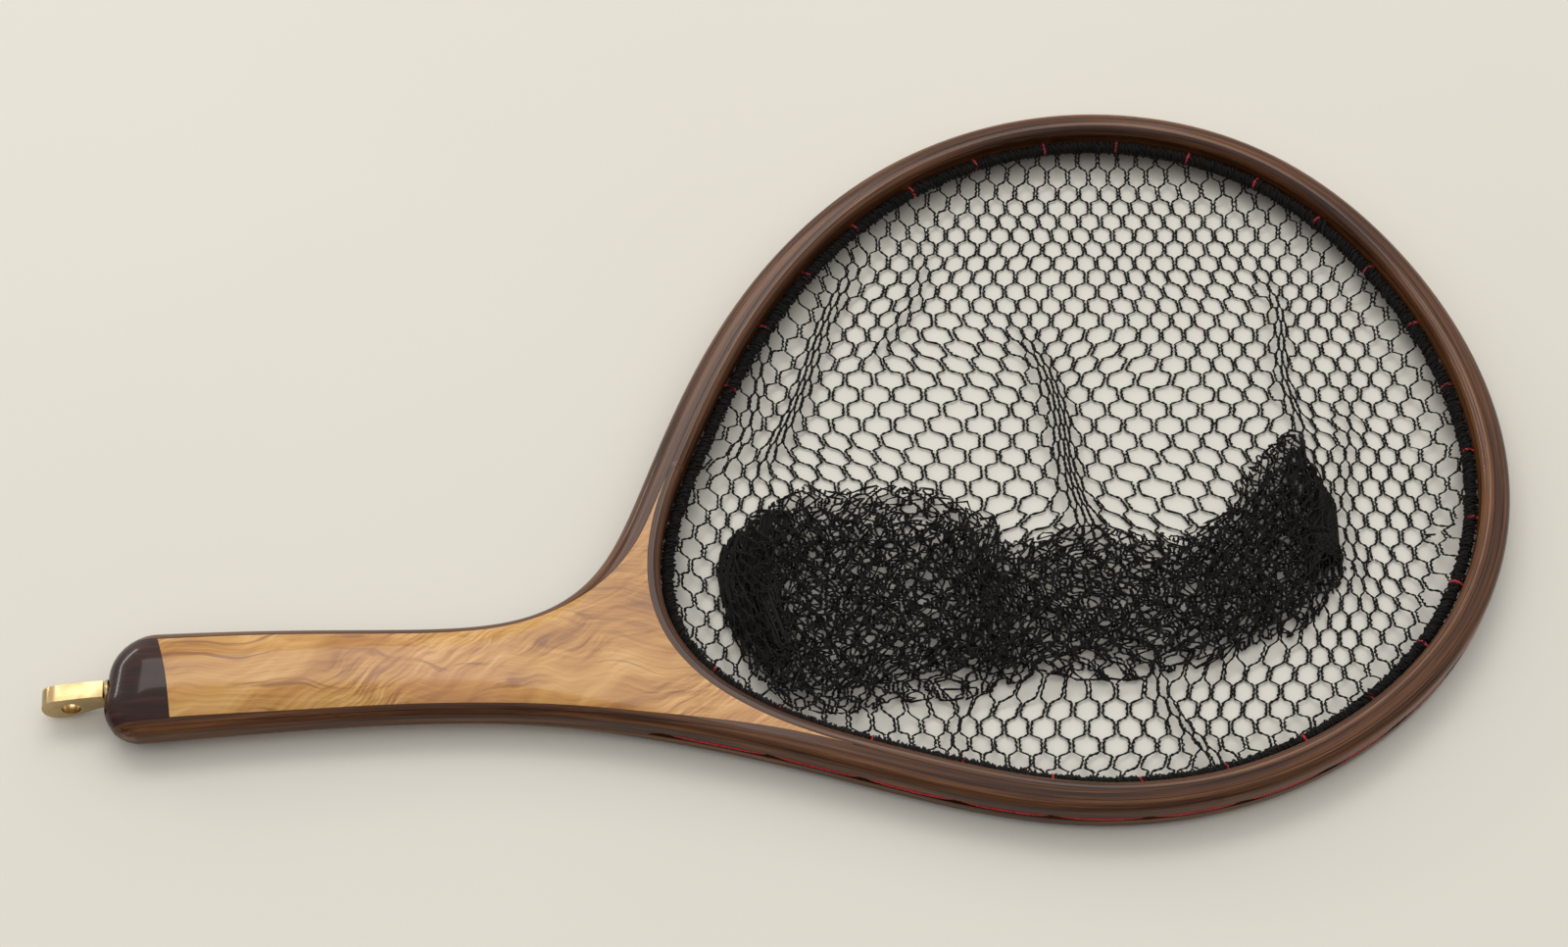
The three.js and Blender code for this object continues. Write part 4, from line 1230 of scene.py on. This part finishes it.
def lay_net():
    """The bag as it lies: the wall with its folded end, and the near side of the wall."""
    x = column_positions()
    far, near = rim_crossings(x)
    first, last = FOLD_TOP[0][0], FOLD_TOP[-1][0]
    middle = np.interp(x, [-60, first, last, 280], [-50, -52, -46, -20])
    folded = smooth(x, first, first + 5) * (1 - smooth(x, last - 5, last))
    thick = smooth(x, first - 1, first + 8) * (1 - smooth(x, last - 10, last + 1))
    loose = thick * smooth(x, first, first + 30)
    wobble = [waves(x, x * 0, 60 + k, 45) * LINE_WANDER for k in range(4)]
    top = lerp(middle, curve_of(FOLD_TOP)(x), folded)
    low = lerp(middle, curve_of(FOLD_LOW)(x), folded)
    inner_low, inner_top = lerp(low, top, 0.10), lerp(top, low, 0.12)
    lines = [far, low, top, inner_low, inner_top]
    for k in range(1, 5):
        lines[k] = np.clip(lines[k] + wobble[k - 1] * folded, near, far)
    extra = slack_along(x, lines[1:], first, last)
    flat_y = far.copy()
    space, flat = [], []
    for k, count in enumerate(LAYER_ROWS):
        for s in np.linspace(0, 1, count):
            y = lerp(lines[k], lines[k + 1], s)
            points = np.column_stack([x, y])
            z = layer_height(points, k, s, thick, low)
            taken, rise = ridge_field(x, y) if k == 0 else (0, 0)
            gather = 1 if k == 0 else GATHER
            bulge = waves(x * 0.4 + 90 * k, y, 33, 60) * FOLD_BULGE * folded
            bulge = bulge * smooth(k + s, 0.9, 1.2)
            laid = np.column_stack([x + bulge, y, z + rise])
            space.append(crumpled(laid, 70 + 3 * k, loose * smooth(k + s, 0.85, 1.1)))
            warp = waves(x, y, 11, 38) * (SINGLE_WARP if k == 0 else FOLDED_WARP)
            flat_x = x + taken + warp + extra * smooth(k + s, 0.4, 1)
            flat.append(np.column_stack([flat_x, flat_y - gather * np.abs(y - lines[k])]))
        flat_y = flat_y - gather * np.abs(lines[k + 1] - lines[k])
    folds = Sheet(np.array(space), np.array(flat))
    space, flat = [], []
    flat_y, last_y = near.copy(), near
    for s in np.linspace(0, 1, NEAR_ROWS):
        y = lerp(near, lines[4], s)
        points = np.column_stack([x, y])
        z = layer_height(points, LAYERS - 1, 1 - s, thick, low)
        taken, rise = ridge_field(x, y)
        gather = lerp(1, GATHER, smooth(y, low - 4, low + 8) * thick)
        flat_y = flat_y + gather * (y - last_y)
        last_y = y
        clear = 1 - thick * smooth(y, low - 9, low + 3)
        laid = np.column_stack([points, z + rise * clear])
        space.append(crumpled(laid, 90, 1 - clear))
        warp = waves(x, y, 12, 38) * lerp(FOLDED_WARP, SINGLE_WARP, clear)
        flat.append(np.column_stack([x + taken + warp + extra * s * s, flat_y]))
    return folds, Sheet(np.array(space), np.array(flat))


def flat_strands(sheet):
    """The netting's strands in the flat: each winds between two neighbouring columns."""
    low, high = sheet.flat.min(0) - MESH_PITCH, sheet.flat.max(0) + MESH_PITCH
    first_row, last_row = math.floor(low[1] / MESH_ROW), math.ceil(high[1] / MESH_ROW)
    for i in range(math.floor(low[0] / MESH_PITCH), math.ceil(high[0] / MESH_PITCH) + 1):
        for side in (-1, 1):
            points = []
            for j in range(first_row, last_row + 1):
                odd = j % 2
                centre = MESH_PITCH * (i + side * 0.5 * odd)
                hand = -side if odd else side
                points += [(centre + hand * apart, (j + up) * MESH_ROW)
                           for up, apart in STRAND_BENDS]
            yield np.array(points)


def net_strands(sheet, seed):
    """The netting's strands in space, cut into runs, each with its flat points."""
    rng = np.random.default_rng(seed)
    runs = []
    for flat in flat_strands(sheet):
        path = rounded(flat + rng.normal(0, FLAT_UNEVEN, flat.shape), 1)
        space, inside = sheet.locate(path)
        keep = inside | np.roll(inside, 1) | np.roll(inside, -1)
        keep[[0, -1]] = inside[[0, -1]]
        cuts = np.flatnonzero(np.diff(keep.astype(int))) + 1
        whole = np.union1d(cuts, np.arange(LONGEST_RUN, len(keep), LONGEST_RUN))
        for run in np.split(np.arange(len(keep)), whole):
            if keep[run[0]] and len(run) > 3:
                if run[-1] + 1 < len(keep) and keep[run[-1] + 1]:
                    run = np.append(run, run[-1] + 1)
                lying = space[run] + rng.normal(0, LYING_UNEVEN, (len(run), 3))
                lying[:, 2] = np.maximum(lying[:, 2], STRAND_RADIUS)
                apart = np.linalg.norm(np.diff(lying, axis=0), axis=1) > 0.02
                apart = np.concatenate([[True], apart])
                runs.append((lying[apart], path[run][apart]))
    return [run for run in runs if len(run[0]) > 3]


def netting_panel(name, runs, material, seed):
    """Some neighbouring strands of the netting as one sheet; each covers half a mesh's width."""
    rng = np.random.default_rng(seed)
    yarns = [y for lying, _ in runs for y in twisted(lying, 2, YARN_TWIST, YARN_REACH)]
    uneven = [1 + YARN_UNEVEN * rng.normal(0, 1, len(y)) for y in yarns]
    radii = [YARN_RADIUS * u.clip(0.6, 1.5) for u in uneven]
    panel = tube_mesh(name, yarns, radii, 4)
    dress(panel, material)
    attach(panel, "net")
    area = float(sum(np.ptp(flat[:, 1]) for _, flat in runs) * MESH_PITCH / 2 / 1e6)
    return panel


def build_net():
    material = yarn("netting", (0.0028, 0.0026, 0.0024), (0.0115, 0.0105, 0.0095), 0.04, 0.8)
    build_border(material)
    panels = []
    for seed, sheet in enumerate(lay_net(), 1):
        runs = net_strands(sheet, seed)
        done = np.cumsum([len(lying) for lying, _ in runs])
        share = math.ceil(done[-1] / PANEL_POINTS)
        panel_of = np.minimum(done * share // (done[-1] + 1), share - 1)
        for k in range(share):
            name = f"netting_{len(panels) + 1}"
            batch = [run for run, panel in zip(runs, panel_of) if panel == k]
            panels.append(netting_panel(name, batch, material, len(panels)))
    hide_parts("net_bag")


# ---- stage and light

FLOOR_REACH = 4              # in metres


def area_light(name, place, size, energy, colour):
    """A soft light that faces the middle of the ground."""
    light = bpy.data.lights.new(name, "AREA")
    light.shape = "RECTANGLE"
    light.size, light.size_y = size
    light.energy = energy
    light.color = colour
    holder = placed(name, light)
    holder.location = place
    holder.rotation_euler = (-Vector(place)).to_track_quat("-Z", "Y").to_euler()


def soft_room():
    """A pale room, brightest high up beyond the hoop and dim on the near side."""
    world = bpy.data.worlds.new("world")
    world.use_nodes = True
    nodes, links = world.node_tree.nodes, world.node_tree.links
    place = nodes.new("ShaderNodeTexCoord")
    towards = nodes.new("ShaderNodeVectorMath")
    towards.operation = "DOT_PRODUCT"
    towards.inputs[1].default_value = (0, 0.5, 0.866)
    spread = nodes.new("ShaderNodeMapRange")
    spread.inputs["From Min"].default_value = -1
    sky = nodes.new("ShaderNodeValToRGB")
    sky.color_ramp.elements.new(0.5)
    sky.color_ramp.elements.new(0.75)
    levels = ((0.3, 0.10), (0.55, 0.36), (0.8, 0.84), (1.0, 0.98))
    for element, (level, value) in zip(sky.color_ramp.elements, levels):
        element.position = level
        element.color = (value, value * 0.985, value * 0.955, 1)
    links.new(place.outputs["Generated"], towards.inputs[0])
    links.new(towards.outputs["Value"], spread.inputs["Value"])
    links.new(spread.outputs[0], sky.inputs[0])
    links.new(sky.outputs[0], nodes["Background"].inputs["Color"])
    nodes["Background"].inputs["Strength"].default_value = 1.15
    return world


def build_stage():
    r = FLOOR_REACH
    floor = new_object("floor", [(-r, -r, 0), (r, -r, 0), (r, r, 0), (-r, r, 0)],
                       [(0, 1, 2, 3)], shift=False)
    dress(floor, floor_paper("floor_paper"))
    bpy.context.scene.world = soft_room()
    area_light("key", (-0.3, 1.1, 1.8), (1.9, 0.7), 11, (1.0, 0.955, 0.925))
    area_light("window", (-1.75, 1.2, 0.7), (1.1, 0.12), 5, (1.0, 0.985, 0.96))
    bpy.context.scene.view_settings.view_transform = "Standard"


# ---- the whole scene

add_camera()
build_stage()
build_wood()
build_eye()
build_lacing()
build_net()
